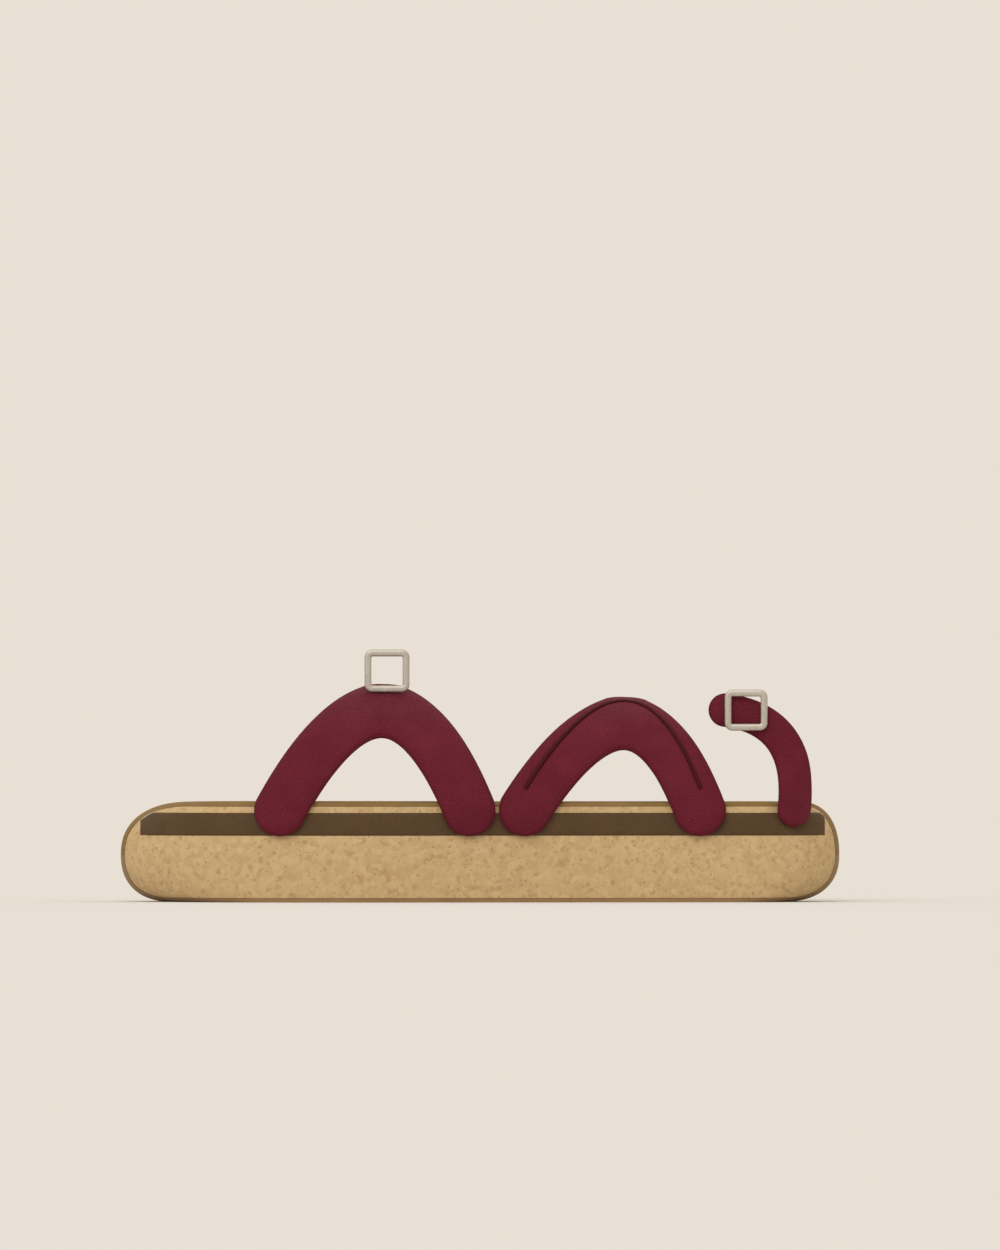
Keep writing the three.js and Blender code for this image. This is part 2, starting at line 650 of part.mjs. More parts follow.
// A rectangle with round corners, centred.
function roundedRectangle(width, height, radius) {
  const path = new THREE.Path();
  const x = width / 2 - radius;
  const y = height / 2 - radius;
  const quarter = Math.PI / 2;
  path.moveTo(x + radius, y);
  path.absarc(x, y, radius, 0, quarter);
  path.absarc(-x, y, radius, quarter, 2 * quarter);
  path.absarc(-x, -y, radius, 2 * quarter, 3 * quarter);
  path.absarc(x, -y, radius, 3 * quarter, 4 * quarter);
  path.closePath();
  return path;
}

// A buckle frame standing in the XZ plane, its middle at the origin.
function buckleFrame({ width, height }) {
  const outer = roundedRectangle(width, height, BUCKLE.corner);
  const window = roundedRectangle(width - 2 * BUCKLE.bar, height - 2 * BUCKLE.bar, BUCKLE.innerCorner);
  const shape = new THREE.Shape(outer.getPoints(4));
  shape.holes.push(new THREE.Path(window.getPoints(2)));
  const geometry = new THREE.ExtrudeGeometry(shape, {
    depth: BUCKLE.depth - 2 * BUCKLE.bevel,
    bevelThickness: BUCKLE.bevel,
    bevelSize: BUCKLE.bevel,
    bevelOffset: -BUCKLE.bevel,
    bevelSegments: 1,
  });
  geometry.translate(0, 0, BUCKLE.bevel - BUCKLE.depth / 2);
  return geometry.rotateX(Math.PI / 2);
}

// The forefoot frame stands with its lower bar just clear of the strap, on the outer side of the ridge.
function forefootBucklePlace() {
  const { x, low, height } = FOREFOOT_BUCKLE;
  const seat = lastPoint(x, lastAngle(x, low - STRAP.pad), LATERAL);
  return new THREE.Vector3(x, seat.y - BUCKLE.depth / 2, low + height / 2);
}

// The heel frame lies against the outer face of the lateral arm.
function heelBucklePlace() {
  const face = HEEL_ARM.reach + HEEL_STRAP.pad + GAP;
  return new THREE.Vector3(HEEL_BUCKLE.x, -face - BUCKLE.depth / 2, HEEL_BUCKLE.middle);
}

const sandal = new THREE.Group();
sandal.name = "sport_sandal";

function addPiece(name, geometry, finish, place = new THREE.Vector3()) {
  const mesh = new THREE.Mesh(geometry, new THREE.MeshStandardMaterial(finish));
  mesh.name = name;
  mesh.position.copy(place);
  sandal.add(mesh);
}

addPiece("outsole", thinLayer(-1), COLOURS.rubber);
addPiece("midsole", groovedCork(), COLOURS.cork);
addPiece("insole", thinLayer(1), COLOURS.bed);
addPiece("rand_lateral", rand(LATERAL), COLOURS.rand);
addPiece("rand_medial", rand(MEDIAL), COLOURS.rand);
addPiece("forefoot_strap", forefootStrap(), COLOURS.strap);
addPiece("instep_strap", instepStrap(), COLOURS.strap);
addPiece("heel_strap_lateral", heelStrapLateral(), COLOURS.strap);
addPiece("heel_strap_medial", heelStrapMedial(), COLOURS.strap);
addPiece("forefoot_buckle", buckleFrame(FOREFOOT_BUCKLE), COLOURS.metal, forefootBucklePlace());
addPiece("heel_buckle", buckleFrame(HEEL_BUCKLE), COLOURS.metal, heelBucklePlace());

// The origin lies on the floor under the middle of the whole sandal.
const middle = new THREE.Box3().setFromObject(sandal, true).getCenter(new THREE.Vector3());
for (const piece of sandal.children) piece.position.sub(middle.setZ(0));

export default sandal;
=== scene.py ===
# %% [markdown]
# # A strap sandal on a cork sole
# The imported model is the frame: one body, in metres, with the toe along -X, the outer side of the foot
# along -Y and the sole on z = 0. Every piece below is a surface worked out with numpy from the same
# sizes as the solids, only much finer, and each one stands for its solid.

import bmesh
import bpy
import numpy as np
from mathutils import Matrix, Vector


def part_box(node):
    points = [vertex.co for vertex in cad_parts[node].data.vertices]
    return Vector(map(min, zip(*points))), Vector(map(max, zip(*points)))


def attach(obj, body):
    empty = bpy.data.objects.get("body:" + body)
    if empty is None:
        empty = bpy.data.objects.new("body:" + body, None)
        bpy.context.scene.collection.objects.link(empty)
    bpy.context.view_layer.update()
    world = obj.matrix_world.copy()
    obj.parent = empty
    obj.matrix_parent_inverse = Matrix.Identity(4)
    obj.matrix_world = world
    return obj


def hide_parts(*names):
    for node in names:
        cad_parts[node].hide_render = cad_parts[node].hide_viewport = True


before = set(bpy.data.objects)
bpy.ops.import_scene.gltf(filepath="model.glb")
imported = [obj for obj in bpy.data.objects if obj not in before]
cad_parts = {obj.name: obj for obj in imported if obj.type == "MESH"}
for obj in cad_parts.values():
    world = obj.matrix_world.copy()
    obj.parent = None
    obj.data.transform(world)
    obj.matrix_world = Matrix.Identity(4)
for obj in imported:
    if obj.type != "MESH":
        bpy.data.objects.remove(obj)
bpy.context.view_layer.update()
scene = bpy.context.scene
print("solids in the frame:", ", ".join(sorted(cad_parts)))

# %% [markdown]
# ## Camera
# The picture is a plain side view with no visible perspective. A camera far away with a very long lens
# gives that, and it still sees a floor, which a camera without perspective at this height would not.
# The distance follows from what the picture's width covers at the depth of the straps and the near wall.

# %% Camera
MM = 0.001
PICTURE_WIDTH = 375 * MM
PICTURE_MIDDLE = (7.5 * MM, 103.9 * MM)
PICTURE_DEPTH = -27 * MM
LENS, SENSOR = 1200, 36
VIEW_END = 80


def add_object(name, data):
    """An object for a camera, lamp or mesh, linked into the scene."""
    thing = bpy.data.objects.new(name, data)
    scene.collection.objects.link(thing)
    return thing


lens = bpy.data.cameras.new("side_camera")
lens.sensor_fit = "HORIZONTAL"
lens.sensor_width = SENSOR
lens.lens = LENS
lens.clip_end = VIEW_END
camera = add_object("side_camera", lens)
camera.location = (PICTURE_MIDDLE[0], PICTURE_DEPTH - PICTURE_WIDTH * LENS / SENSOR, PICTURE_MIDDLE[1])
camera.rotation_euler = (np.pi / 2, 0, 0)
scene.camera = camera
print("camera distance in metres:", round(PICTURE_DEPTH - camera.location.y, 2))

# %% [markdown]
# ## Grids
# A surface is a function of two parameters, so its points fill a grid. Neighbouring rows and columns
# give the quads. Most pieces here are lofts: each row is a closed section, so the columns wrap round.
# Where a section shrinks to a line or a point, merging its equal points closes the shape.

# %% From a grid to a mesh, with lengths in millimetres
AXIS_SHIFT = -0.475  # where the sole's long axis lies in the frame
MERGE_REACH = 0.003
SHARP_ANGLE = 50


def xyz(x, y, z):
    """Points from three arrays or numbers, spread out to one grid."""
    return np.stack(np.broadcast_arrays(x, y, z), axis=-1)


def ring_faces(rows, columns):
    """Quads between neighbouring rows whose columns close into a ring, as an array by row and column."""
    row, column = np.meshgrid(np.arange(rows - 1), np.arange(columns), indexing="ij")
    after = (column + 1) % columns
    low, high = row * columns, (row + 1) * columns
    return np.stack([low + column, high + column, high + after, low + after], axis=-1)


def add_piece(name, points, material, slot, *nodes, quads=None, edge=None):
    """A closed mesh from rings of points: equal points merged, faces turned outwards, sharp corners kept.

    `quads` joins the points where they are not simple rings. `edge` says for each point how much it
    belongs to a cut edge, from 0 to 1, for the material to read.
    """
    quads = ring_faces(*points.shape[:2]) if quads is None else quads
    mesh = bpy.data.meshes.new(name)
    placed = (points.reshape(-1, 3) + (0, AXIS_SHIFT, 0)) * MM
    mesh.from_pydata(placed.tolist(), [], quads.reshape(-1, 4).tolist())
    if edge is not None:
        mesh.attributes.new("edge", "FLOAT", "POINT").data.foreach_set("value", edge.ravel())
    work = bmesh.new()
    work.from_mesh(mesh)
    bmesh.ops.remove_doubles(work, verts=work.verts, dist=MERGE_REACH * MM)
    bmesh.ops.recalc_face_normals(work, faces=work.faces)
    work.to_mesh(mesh)
    work.free()
    mesh.shade_smooth()
    mesh.set_sharp_from_angle(angle=np.radians(SHARP_ANGLE))
    mesh.materials.append(material)
    piece = add_object(name, mesh)
    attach(piece, "root")
    if nodes:
        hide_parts(*nodes)
    print(name, len(mesh.vertices), "points", len(mesh.polygons), "faces")


print("a grid of 3 rings of 4 points has", len(ring_faces(3, 4).reshape(-1, 4)), "quads")

# %% [markdown]
# ## Floor and light
# A pale floor lies under the sandal and reaches far out. Around it is an even sky of the same pale colour,
# so the floor's edge does not show and nothing stands in the way of a view from behind.
# The picture has almost no shadow. The sky does most of the lighting, one broad soft lamp in front and
# above gives the straps their roundness, and a weak one from behind lifts their top edges.
# Both lamps are far away, so the floor gets the same light everywhere.

# %% Sky, in a colour read from the picture and turned into light
def srgb(red, green, blue):
    """Picture values from 0 to 255 turned into linear light, by the standard curve."""
    value = np.array([red, green, blue]) / 255
    linear = np.where(value <= 0.04045, value / 12.92, ((value + 0.055) / 1.055) ** 2.4)
    return (*linear.tolist(), 1.0)


scene.view_settings.view_transform = "Standard"
BACKDROP = srgb(232, 224, 212)
sky = bpy.data.worlds.new("even_sky")
sky.use_nodes = True
sky.node_tree.nodes["Background"].inputs["Color"].default_value = BACKDROP
sky.node_tree.nodes["Background"].inputs["Strength"].default_value = 1.0
scene.world = sky
print("sky as linear light:", np.round(BACKDROP[:3], 3))

# %% Lamps, by the direction each shines from and its size in the sky, in degrees, and its strength
LAMPS = {"front_lamp": (-18, 36, 40, 1.1), "rear_lamp": (150, 55, 50, 0.25)}


def add_lamp(name, azimuth, elevation, softness, strength):
    """A far lamp; returns its light on the floor, which goes with the sine of the elevation."""
    lamp = bpy.data.lights.new(name, "SUN")
    lamp.angle = np.radians(softness)
    lamp.energy = strength
    add_object(name, lamp).rotation_euler = (np.radians(90 - elevation), 0, np.radians(azimuth))
    return strength * np.sin(np.radians(elevation))


lamp_light = sum(add_lamp(name, *values) for name, values in LAMPS.items())
print("light of the lamps on the floor:", lamp_light.round(3))

# %% Floor: in the sky's share of all the light as its colour, it sends back as much light as the sky
FLOOR_HALF = 8.0
floor_corner = FLOOR_HALF * np.array([[-1, -1, 0], [1, -1, 0], [1, 1, 0], [-1, 1, 0]])
floor_mesh = bpy.data.meshes.new("floor")
floor_mesh.from_pydata(floor_corner.tolist(), [], [[0, 1, 2, 3]])
add_object("floor", floor_mesh)

sky_light = np.pi * np.array(BACKDROP[:3])
floor_colour = sky_light / (sky_light + lamp_light)
floor_material = bpy.data.materials.new("pale_floor")
floor_material.use_nodes = True
floor_shader = floor_material.node_tree.nodes["Principled BSDF"].inputs
floor_shader["Base Color"].default_value = (*floor_colour.tolist(), 1.0)
floor_shader["Roughness"].default_value = 1.0
floor_shader["Specular IOR Level"].default_value = 0.0
floor_mesh.materials.append(floor_material)
print("floor colour:", floor_colour.round(3))

# %% [markdown]
# ## Sole outline
# Seen from above, the sole is a left footprint: two half widths from the long axis, given at a few
# distances from the heel and joined by a smooth curve, with a superellipse closing each end.
# Seen from the side it is a bar with bull-nosed ends. The outline at a height is the outline at the
# nose with its ends pushed in, most at the tips and not at all further along.

# %% Smooth curves
def smooth(value, low, high):
    """A soft step from 0 at `low` to 1 at `high`: three times the square less twice the cube."""
    share = np.clip((value - low) / (high - low), 0, 1)
    return share * share * (3 - 2 * share)


def crowded(low, high, count):
    """Places from `low` to `high`, closer together at both ends: the cosines of equal turns."""
    return (low + high) / 2 - (high - low) / 2 * np.cos(np.linspace(0, np.pi, count))


def table_at(shares, values, share):
    """A cubic through a table's rows; the slope at a row comes from the rows on either side of it."""
    shares, values = np.asarray(shares, float), np.asarray(values, float)
    last = len(shares) - 1
    rows = np.arange(last + 1)
    before, after = np.maximum(rows - 1, 0), np.minimum(rows + 1, last)
    slopes = (values[after] - values[before]) / (shares[after] - shares[before])
    at = np.clip(share, shares[0], shares[-1])
    i = np.clip(np.searchsorted(shares, at) - 1, 0, last - 1)
    span = shares[i + 1] - shares[i]
    t = (at - shares[i]) / span
    bow = t * (1 - t) * span * ((1 - t) * slopes[i] - t * slopes[i + 1])
    return values[i] + (values[i + 1] - values[i]) * smooth(t, 0, 1) + bow


def rounded_end(distance, length, power):
    """A superellipse: 0 at the end itself, 1 from `length` inwards."""
    out = np.clip(1 - distance / length, 0, 1)
    return (1 - out**power) ** (1 / power)


print("a round end a tenth of the way in:", rounded_end(0.1, 1, 2).round(2))

# %% Sizes of the sole
TOE, HEEL = -135.0, 135.0
SOLE_HEIGHT, NOSE_HEIGHT = 37.5, 17.6
ROLL_POWER = 2.3
TOE_ABOVE, TOE_BELOW, TOE_SPAN = 26.2, 18.8, 80.0
HEEL_ABOVE, HEEL_BELOW, HEEL_SPAN = 15.0, 20.6, 60.0
UPPER_HALF = (SOLE_HEIGHT - NOSE_HEIGHT, TOE_ABOVE, HEEL_ABOVE)
LOWER_HALF = (NOSE_HEIGHT, TOE_BELOW, HEEL_BELOW)
WALL_TAPER = 1.2
PLAN_SHARES = [0.0, 0.16, 0.4, 0.58, 0.7, 0.85, 1.0]
TOE_ROUND, HEEL_ROUND, PLAN_POWER = 54.0, 37.0, 2.1
SIDES = LATERAL, MEDIAL = -1.0, 1.0
PLAN_HALVES = {
    LATERAL: [33, 34.5, 39, 45.5, 48.5, 44.5, 35],
    MEDIAL: [33, 34, 33, 39.5, 46.5, 48.5, 43],
}


def share_at(x):
    """Distance from the heel as a share of the length."""
    return (HEEL - x) / (HEEL - TOE)


def nose_half_width(x, side):
    """Half width at the nose height: the table's curve times both rounded ends."""
    ends = rounded_end(x - TOE, TOE_ROUND, PLAN_POWER) * rounded_end(HEEL - x, HEEL_ROUND, PLAN_POWER)
    return table_at(PLAN_SHARES, PLAN_HALVES[side], share_at(x)) * ends


def wall_taper(z):
    """How far the wall leans in under the nose: nothing there, all of it at the floor."""
    return WALL_TAPER * np.clip(1 - z / NOSE_HEIGHT, 0, 1)


def half_sizes(up):
    """Reach from the nose height, push at the toe and push at the heel, of the upper or the lower half."""
    return (np.where(up, upper, lower) for upper, lower in zip(UPPER_HALF, LOWER_HALF))


def wall_at(station, side, turn):
    """The wall: turn 0 is the outline at the nose, a right angle up is the rim, a right angle down the floor.

    Height follows the sine and push the cosine of the turn, both to the power of a superellipse.
    """
    reach, toe_push, heel_push = half_sizes(turn > 0)
    push = 1 - np.clip(np.cos(turn), 0, 1) ** (2 / ROLL_POWER)
    z = NOSE_HEIGHT + np.sign(turn) * np.abs(np.sin(turn)) ** (2 / ROLL_POWER) * reach
    at_toe = np.maximum(1 - (station - TOE) / TOE_SPAN, 0) ** 2
    at_heel = np.maximum(1 - (HEEL - station) / HEEL_SPAN, 0) ** 2
    y = side * np.maximum(nose_half_width(station, side) - wall_taper(z), 0)
    return station + push * (toe_push * at_toe - heel_push * at_heel), y, z


def turn_at(z):
    """The turn at which the wall has a height, the other way round from the line for z above."""
    reach, _, _ = half_sizes(z > NOSE_HEIGHT)
    lift = np.clip(np.abs(z - NOSE_HEIGHT) / reach, 0, 1)
    return np.sign(z - NOSE_HEIGHT) * np.arcsin(lift ** (ROLL_POWER / 2))


for side in SIDES:
    print("widest half width:", nose_half_width(np.linspace(TOE, HEEL, 271), side).max().round(1))

# %% [markdown]
# ## Footbed
# The bed is a dish under a flat rim: deep at the heel, shallow at the toes, with an arch support on the
# inner side, a low pad behind the ball and a bar under the toes. A sum of soft steps and humps gives all
# of it as one height for each place, so cover and cork can share it.

# %% Depth of the footbed
SHEET = 1.5
RIM, RIM_SLOPE, TOE_SLOPE = 4.0, 17.0, 27.2
DISH_SHARES = [0.0, 0.18, 0.42, 0.7, 1.0]
DISH_DEPTHS = [8.5, 9, 6.5, 5, 4.5]
# Humps: height, middle and reach along as shares of the length, reach across
ARCH_SUPPORT = (4.5, 0.43, 0.2, 30)
BALL_PAD = (2.0, 0.58, 0.09, 22)
TOE_BAR = (2.2, 0.8, 0.045, 34)
ARCH_INSET = 6.0

STATIONS, TIP_STATIONS = 161, 8
tip_steps = SHEET * (1 - np.cos(np.linspace(0, np.pi / 2, TIP_STATIONS + 1)))[:-1]
along_sole = crowded(TOE + SHEET, HEEL - SHEET, STATIONS)
station = np.r_[TOE + tip_steps, along_sole, HEEL - tip_steps[::-1]]
rim_x, rim_lateral, _ = wall_at(station, LATERAL, np.pi / 2)
_, rim_medial, _ = wall_at(station, MEDIAL, np.pi / 2)


def hump(share, away, height, middle, along_reach, across_reach):
    """A soft hump: its height in the middle, 0 from the two reaches outwards."""
    along = 1 - smooth(np.abs(share - middle), 0, along_reach)
    return height * along * (1 - smooth(np.abs(away), 0, across_reach))


def dish(x, y):
    """Depth under the rim: the table's depth fading out at the rim, less arch support, pad and toe bar."""
    share = share_at(x)
    lateral = -np.interp(x, rim_x, rim_lateral)
    medial = np.interp(x, rim_x, rim_medial)
    inside = smooth(lateral + y, RIM, RIM + RIM_SLOPE) * smooth(medial - y, RIM, RIM + RIM_SLOPE)
    heel_end = smooth(HEEL - HEEL_ABOVE - x, RIM, RIM + RIM_SLOPE)
    toe_end = smooth(x - TOE - TOE_ABOVE, RIM, RIM + TOE_SLOPE)
    depth = table_at(DISH_SHARES, DISH_DEPTHS, share) * heel_end * toe_end
    depth = depth - hump(share, medial - ARCH_INSET - y, *ARCH_SUPPORT)
    depth = depth - hump(share, y, *BALL_PAD) - hump(share, y, *TOE_BAR)
    return np.maximum(inside * depth, 0)


print("rim from", rim_x[0].round(1), "to", rim_x[-1].round(1))
print("deepest dish", dish(station, 0 * station).max().round(1))

# %% Side outline of the layers
TURN_STEPS = 900


def layer_reach(x, inset, upward):
    """How far the side outline reaches up or down from the nose height, with all of it set in by `inset`."""
    reach, toe_push, heel_push = half_sizes(upward)
    toe = rounded_end(x - TOE - inset, toe_push - inset, ROLL_POWER)
    heel = rounded_end(HEEL - x - inset, heel_push - inset, ROLL_POWER)
    return (reach - inset) * np.minimum(toe, heel)


def edge_turn(stations, inset, upward):
    """The turn at which a wall passes out of the side outline set in by `inset`, on a fine scale of turns."""
    turns = np.linspace(0, np.pi / 2, TURN_STEPS)
    x, _, z = wall_at(stations[:, None], LATERAL, turns if upward else -turns)
    spare = layer_reach(x, inset, upward) - np.abs(z - NOSE_HEIGHT)
    first = np.maximum(np.argmax(spare < 0, axis=1), 1)
    row = np.arange(len(stations))
    inside, outside = spare[row, first - 1], spare[row, first]
    share = np.clip(inside / (inside - outside), 0, 1)
    return turns[first - 1] + share * (turns[first] - turns[first - 1])


def bed_level(x, y, inset, least):
    """Height of a layer's top under the bed; it stays over the nose by `least`."""
    return NOSE_HEIGHT + np.maximum(layer_reach(x, inset, True) - dish(x, y), least)


def base_level(x, inset, least):
    """Height of a layer's underside; it stays under the nose by `least`."""
    return NOSE_HEIGHT - np.maximum(layer_reach(x, inset, False), least)


print("a sheet's inner faces at x = 0:", bed_level(0.0, 0.0, SHEET, 0).round(2), base_level(0.0, SHEET, 0))

# %% [markdown]
# ## Mottled surfaces
# Leather, cork, rubber and metal all vary a little from place to place. One node group makes that: a coarse
# and a fine noise on object coordinates, mixed into a factor around one half, and the fine one as a height.
# Each material places the group with its own sizes, given as cells in a metre.

# %% Node helpers
def plug(tree, socket, value):
    """A socket linked to another node's socket, or set to a plain value."""
    if isinstance(value, bpy.types.NodeSocket):
        tree.links.new(value, socket)
    else:
        socket.default_value = value


def add_node(tree, kind, settings=(), **inputs):
    """A node with some settings and plugged inputs; an input name's underscores stand for spaces."""
    node = tree.nodes.new(kind)
    for name, value in dict(settings).items():
        setattr(node, name, value)
    for name, value in inputs.items():
        plug(tree, node.inputs[name.replace("_", " ")], value)
    return node


def mix(tree, kind, factor, first, second):
    """Between two numbers or two colours by a factor; each of the three is a socket or a plain value."""
    node = add_node(tree, "ShaderNodeMix", {"data_type": kind})
    first_place, end = (2, 0) if kind == "FLOAT" else (6, 2)
    for place, value in ((0, factor), (first_place, first), (first_place + 1, second)):
        plug(tree, node.inputs[place], value)
    return node.outputs[end]


def start_group(name, inputs, outputs):
    """A node group with number sockets of the given names; returns its tree and the sockets inside it."""
    tree = bpy.data.node_groups.new(name, "ShaderNodeTree")
    for way, words in (("INPUT", inputs), ("OUTPUT", outputs)):
        for word in words:
            tree.interface.new_socket(word, in_out=way, socket_type="NodeSocketFloat")
    return tree, tree.nodes.new("NodeGroupInput").outputs, tree.nodes.new("NodeGroupOutput").inputs


# %% Mottle
def make_mottle():
    """Group: two noises of different size, mixed, give Factor; the finer one alone gives Height."""
    sizes = "Patch Scale", "Grain Scale", "Grain Share"
    tree, given, end = start_group("mottle", sizes, ("Factor", "Height"))
    noises = []
    place = add_node(tree, "ShaderNodeTexCoord").outputs["Object"]
    for word, detail, roughness in (("Patch Scale", 4.0, 0.6), ("Grain Scale", 3.0, 0.65)):
        noise = add_node(
            tree, "ShaderNodeTexNoise", Vector=place, Scale=given[word], Detail=detail, Roughness=roughness
        )
        noises.append(noise.outputs["Fac"])
    plug(tree, end["Factor"], mix(tree, "FLOAT", given["Grain Share"], *noises))
    plug(tree, end["Height"], noises[1])
    return tree


mottle = make_mottle()
print("group", mottle.name, "has", len(mottle.nodes), "nodes")


# %% Parts of a material
MOTTLE_PLACES = (0.3, 0.5, 0.7)


def start_material(name, patch_scale, grain_scale, grain_share):
    """A material, its tree, its shader's inputs, and the outputs of a placed mottle."""
    material = bpy.data.materials.new(name)
    material.use_nodes = True
    tree = material.node_tree
    sizes = {"Patch_Scale": patch_scale, "Grain_Scale": grain_scale, "Grain_Share": grain_share}
    group = add_node(tree, "ShaderNodeGroup", {"node_tree": mottle}, **sizes)
    return material, tree, tree.nodes["Principled BSDF"].inputs, group.outputs


def colour_ramp(tree, factor, places, colours):
    """Three colours along a factor, each at its place."""
    ramp = add_node(tree, "ShaderNodeValToRGB", Fac=factor)
    ramp.color_ramp.elements.new(places[1])
    for element, place, colour in zip(ramp.color_ramp.elements, places, colours):
        element.position = place
        element.color = colour
    return ramp.outputs["Color"]


def give_finish(tree, shader, colour, factor, roughness, height, bump, pits=False):
    """Colour, roughness between two values along the middle half of a factor, and a height as bump.

    `bump` is its strength and its relief in millimetres; with `pits`, high values are pits.
    """
    plug(tree, shader["Base Color"], colour)
    ends = {"From_Min": 0.25, "From_Max": 0.75, "To_Min": roughness[0], "To_Max": roughness[1]}
    spread = add_node(tree, "ShaderNodeMapRange", Value=factor, **ends)
    plug(tree, shader["Roughness"], spread.outputs["Result"])
    sizes = {"Strength": bump[0], "Distance": bump[1] * MM}
    relief = add_node(tree, "ShaderNodeBump", {"invert": pits}, Height=height, **sizes)
    plug(tree, shader["Normal"], relief.outputs["Normal"])


# %% [markdown]
# ## Leathers
# The straps are a matt burgundy leather, the footbed is brushed brown leather, and the side strip is a
# smooth, darker one. Tanned leather shows a fine pebble: small domes with grooves between them. A warped cell
# pattern gives that as a second group, and the grooves get painted shade: their colour is darkened. All
# leathers are then one recipe with their own colours, pebble, painted groove shade and nap, and so is the
# dark seam. Cut edges are burnished a little darker, where a piece says how near its edge each point is.

# %% Pebble of the leather
WARP, WARP_SCALE = 0.5 * MM, 900.0
DOME_RADIUS = 0.28


def make_pebble():
    """Group: distance to the borders of warped cells, as a Height from 0 in the grooves to 1 on the domes."""
    tree, given, end = start_group("pebble", ("Cell Scale",), ("Height",))
    place = add_node(tree, "ShaderNodeTexCoord").outputs["Object"]
    noise = add_node(tree, "ShaderNodeTexNoise", Vector=place, Scale=WARP_SCALE, Detail=2.0)
    bent = add_node(tree, "ShaderNodeVectorMath", {"operation": "MULTIPLY_ADD"})
    for socket, value in zip(bent.inputs, (noise.outputs["Color"], (WARP, WARP, WARP), place)):
        plug(tree, socket, value)
    look = {"feature": "DISTANCE_TO_EDGE"}
    cells = add_node(
        tree, "ShaderNodeTexVoronoi", look, Vector=bent.outputs["Vector"], Scale=given["Cell Scale"]
    )
    look = {"interpolation_type": "SMOOTHSTEP"}
    dome = add_node(tree, "ShaderNodeMapRange", look, Value=cells.outputs["Distance"], From_Max=DOME_RADIUS)
    plug(tree, end["Height"], dome.outputs["Result"])
    return tree


pebble = make_pebble()
print("group", pebble.name, "has", len(pebble.nodes), "nodes")

# %% Leather
NAP_TO_PEBBLE, NAP_SHARE = 2.5, 0.5
# Painted shade in the pebble's grooves: how dark their colour is, and its greatest share
PAINTED_GROOVE_SHADE, PAINTED_SHADE_SHARE = 0.7, 0.6
ROUGHNESS_SPREAD = 0.07
LEATHER_GLOSS, SHEEN_ROUGHNESS = 0.15, 0.6


def make_leather(name, colours, patch_scale, pebble_scale, pebble_share, roughness, sheen, relief):
    """Mottled leather: colours along the mottle, painted shade in the grooves, darker burnished edges, pebble
    and nap as bump.
    """
    dark, _, light = colours
    # Painted shade: the colour given to the grooves between the domes
    painted_groove_shade = tuple(PAINTED_GROOVE_SHADE * value for value in dark[:3]) + (1.0,)
    nap = NAP_TO_PEBBLE * pebble_scale, NAP_SHARE
    material, tree, shader, mottled = start_material(name, patch_scale, *nap)
    pebbles = add_node(tree, "ShaderNodeGroup", {"node_tree": pebble}, Cell_Scale=pebble_scale)
    domes = pebbles.outputs["Height"]
    # Painted shade: how much the groove colour covers, most in the grooves and none on the domes
    groove = add_node(tree, "ShaderNodeMapRange", Value=domes, To_Min=PAINTED_SHADE_SHARE * pebble_share, To_Max=0.0)
    edge = add_node(tree, "ShaderNodeAttribute", {"attribute_name": "edge"})
    colour = colour_ramp(tree, mottled["Factor"], MOTTLE_PLACES, colours)
    colour = mix(tree, "RGBA", groove.outputs["Result"], colour, painted_groove_shade)
    colour = mix(tree, "RGBA", edge.outputs["Fac"], colour, dark)
    height = mix(tree, "FLOAT", pebble_share, mottled["Height"], domes)
    ends = roughness + ROUGHNESS_SPREAD, roughness - ROUGHNESS_SPREAD
    give_finish(tree, shader, colour, mottled["Factor"], ends, height, (1.0, relief))
    shader["Sheen Weight"].default_value = sheen
    shader["Sheen Roughness"].default_value = SHEEN_ROUGHNESS
    shader["Sheen Tint"].default_value = light
    shader["Specular IOR Level"].default_value = LEATHER_GLOSS
    return material


# %% Four leathers: patches, pebbles, pebble's share in the bump, roughness, sheen, relief
BURGUNDY = srgb(95, 22, 39.5), srgb(105, 28, 44.5), srgb(115, 34, 50.5)
DARK_BURGUNDY = srgb(56, 6, 13), srgb(66, 10, 17), srgb(76, 15, 23)
BRUSHED_BROWN = srgb(124, 98, 58), srgb(138, 110, 68), srgb(150, 121, 78)
DARK_BROWN = srgb(78, 59, 38), srgb(87, 66, 42), srgb(95, 73, 48)
strap_leather = make_leather("strap_leather", BURGUNDY, 90, 900, 0.6, 0.75, 0.12, 0.3)
seam_leather = make_leather("seam_leather", DARK_BURGUNDY, 300, 3000, 0.3, 0.7, 0.0, 0.05)
bed_leather = make_leather("footbed_leather", BRUSHED_BROWN, 70, 900, 0.15, 0.85, 0.1, 0.25)
rand_leather = make_leather("rand_leather", DARK_BROWN, 80, 1100, 0.5, 0.6, 0.0, 0.15)
print("a leather has", len(strap_leather.node_tree.nodes), "nodes")

# %% [markdown]
# ## Rubber and metal
# The outsole is a matt brown rubber, almost plain. The buckles are a warm grey metal with a satin finish:
# not quite a mirror, with a roughness that changes a little from place to place.

# %% Rubber and metal
METALNESS = 0.75


def make_plain(name, colours, scales, roughness, bump):
    """Colour, roughness and bump straight from the mottle; returns the material and its shader's inputs."""
    material, tree, shader, mottled = start_material(name, *scales)
    colour = colour_ramp(tree, mottled["Factor"], MOTTLE_PLACES, colours)
    give_finish(tree, shader, colour, mottled["Factor"], roughness, mottled["Height"], bump)
    return material, shader


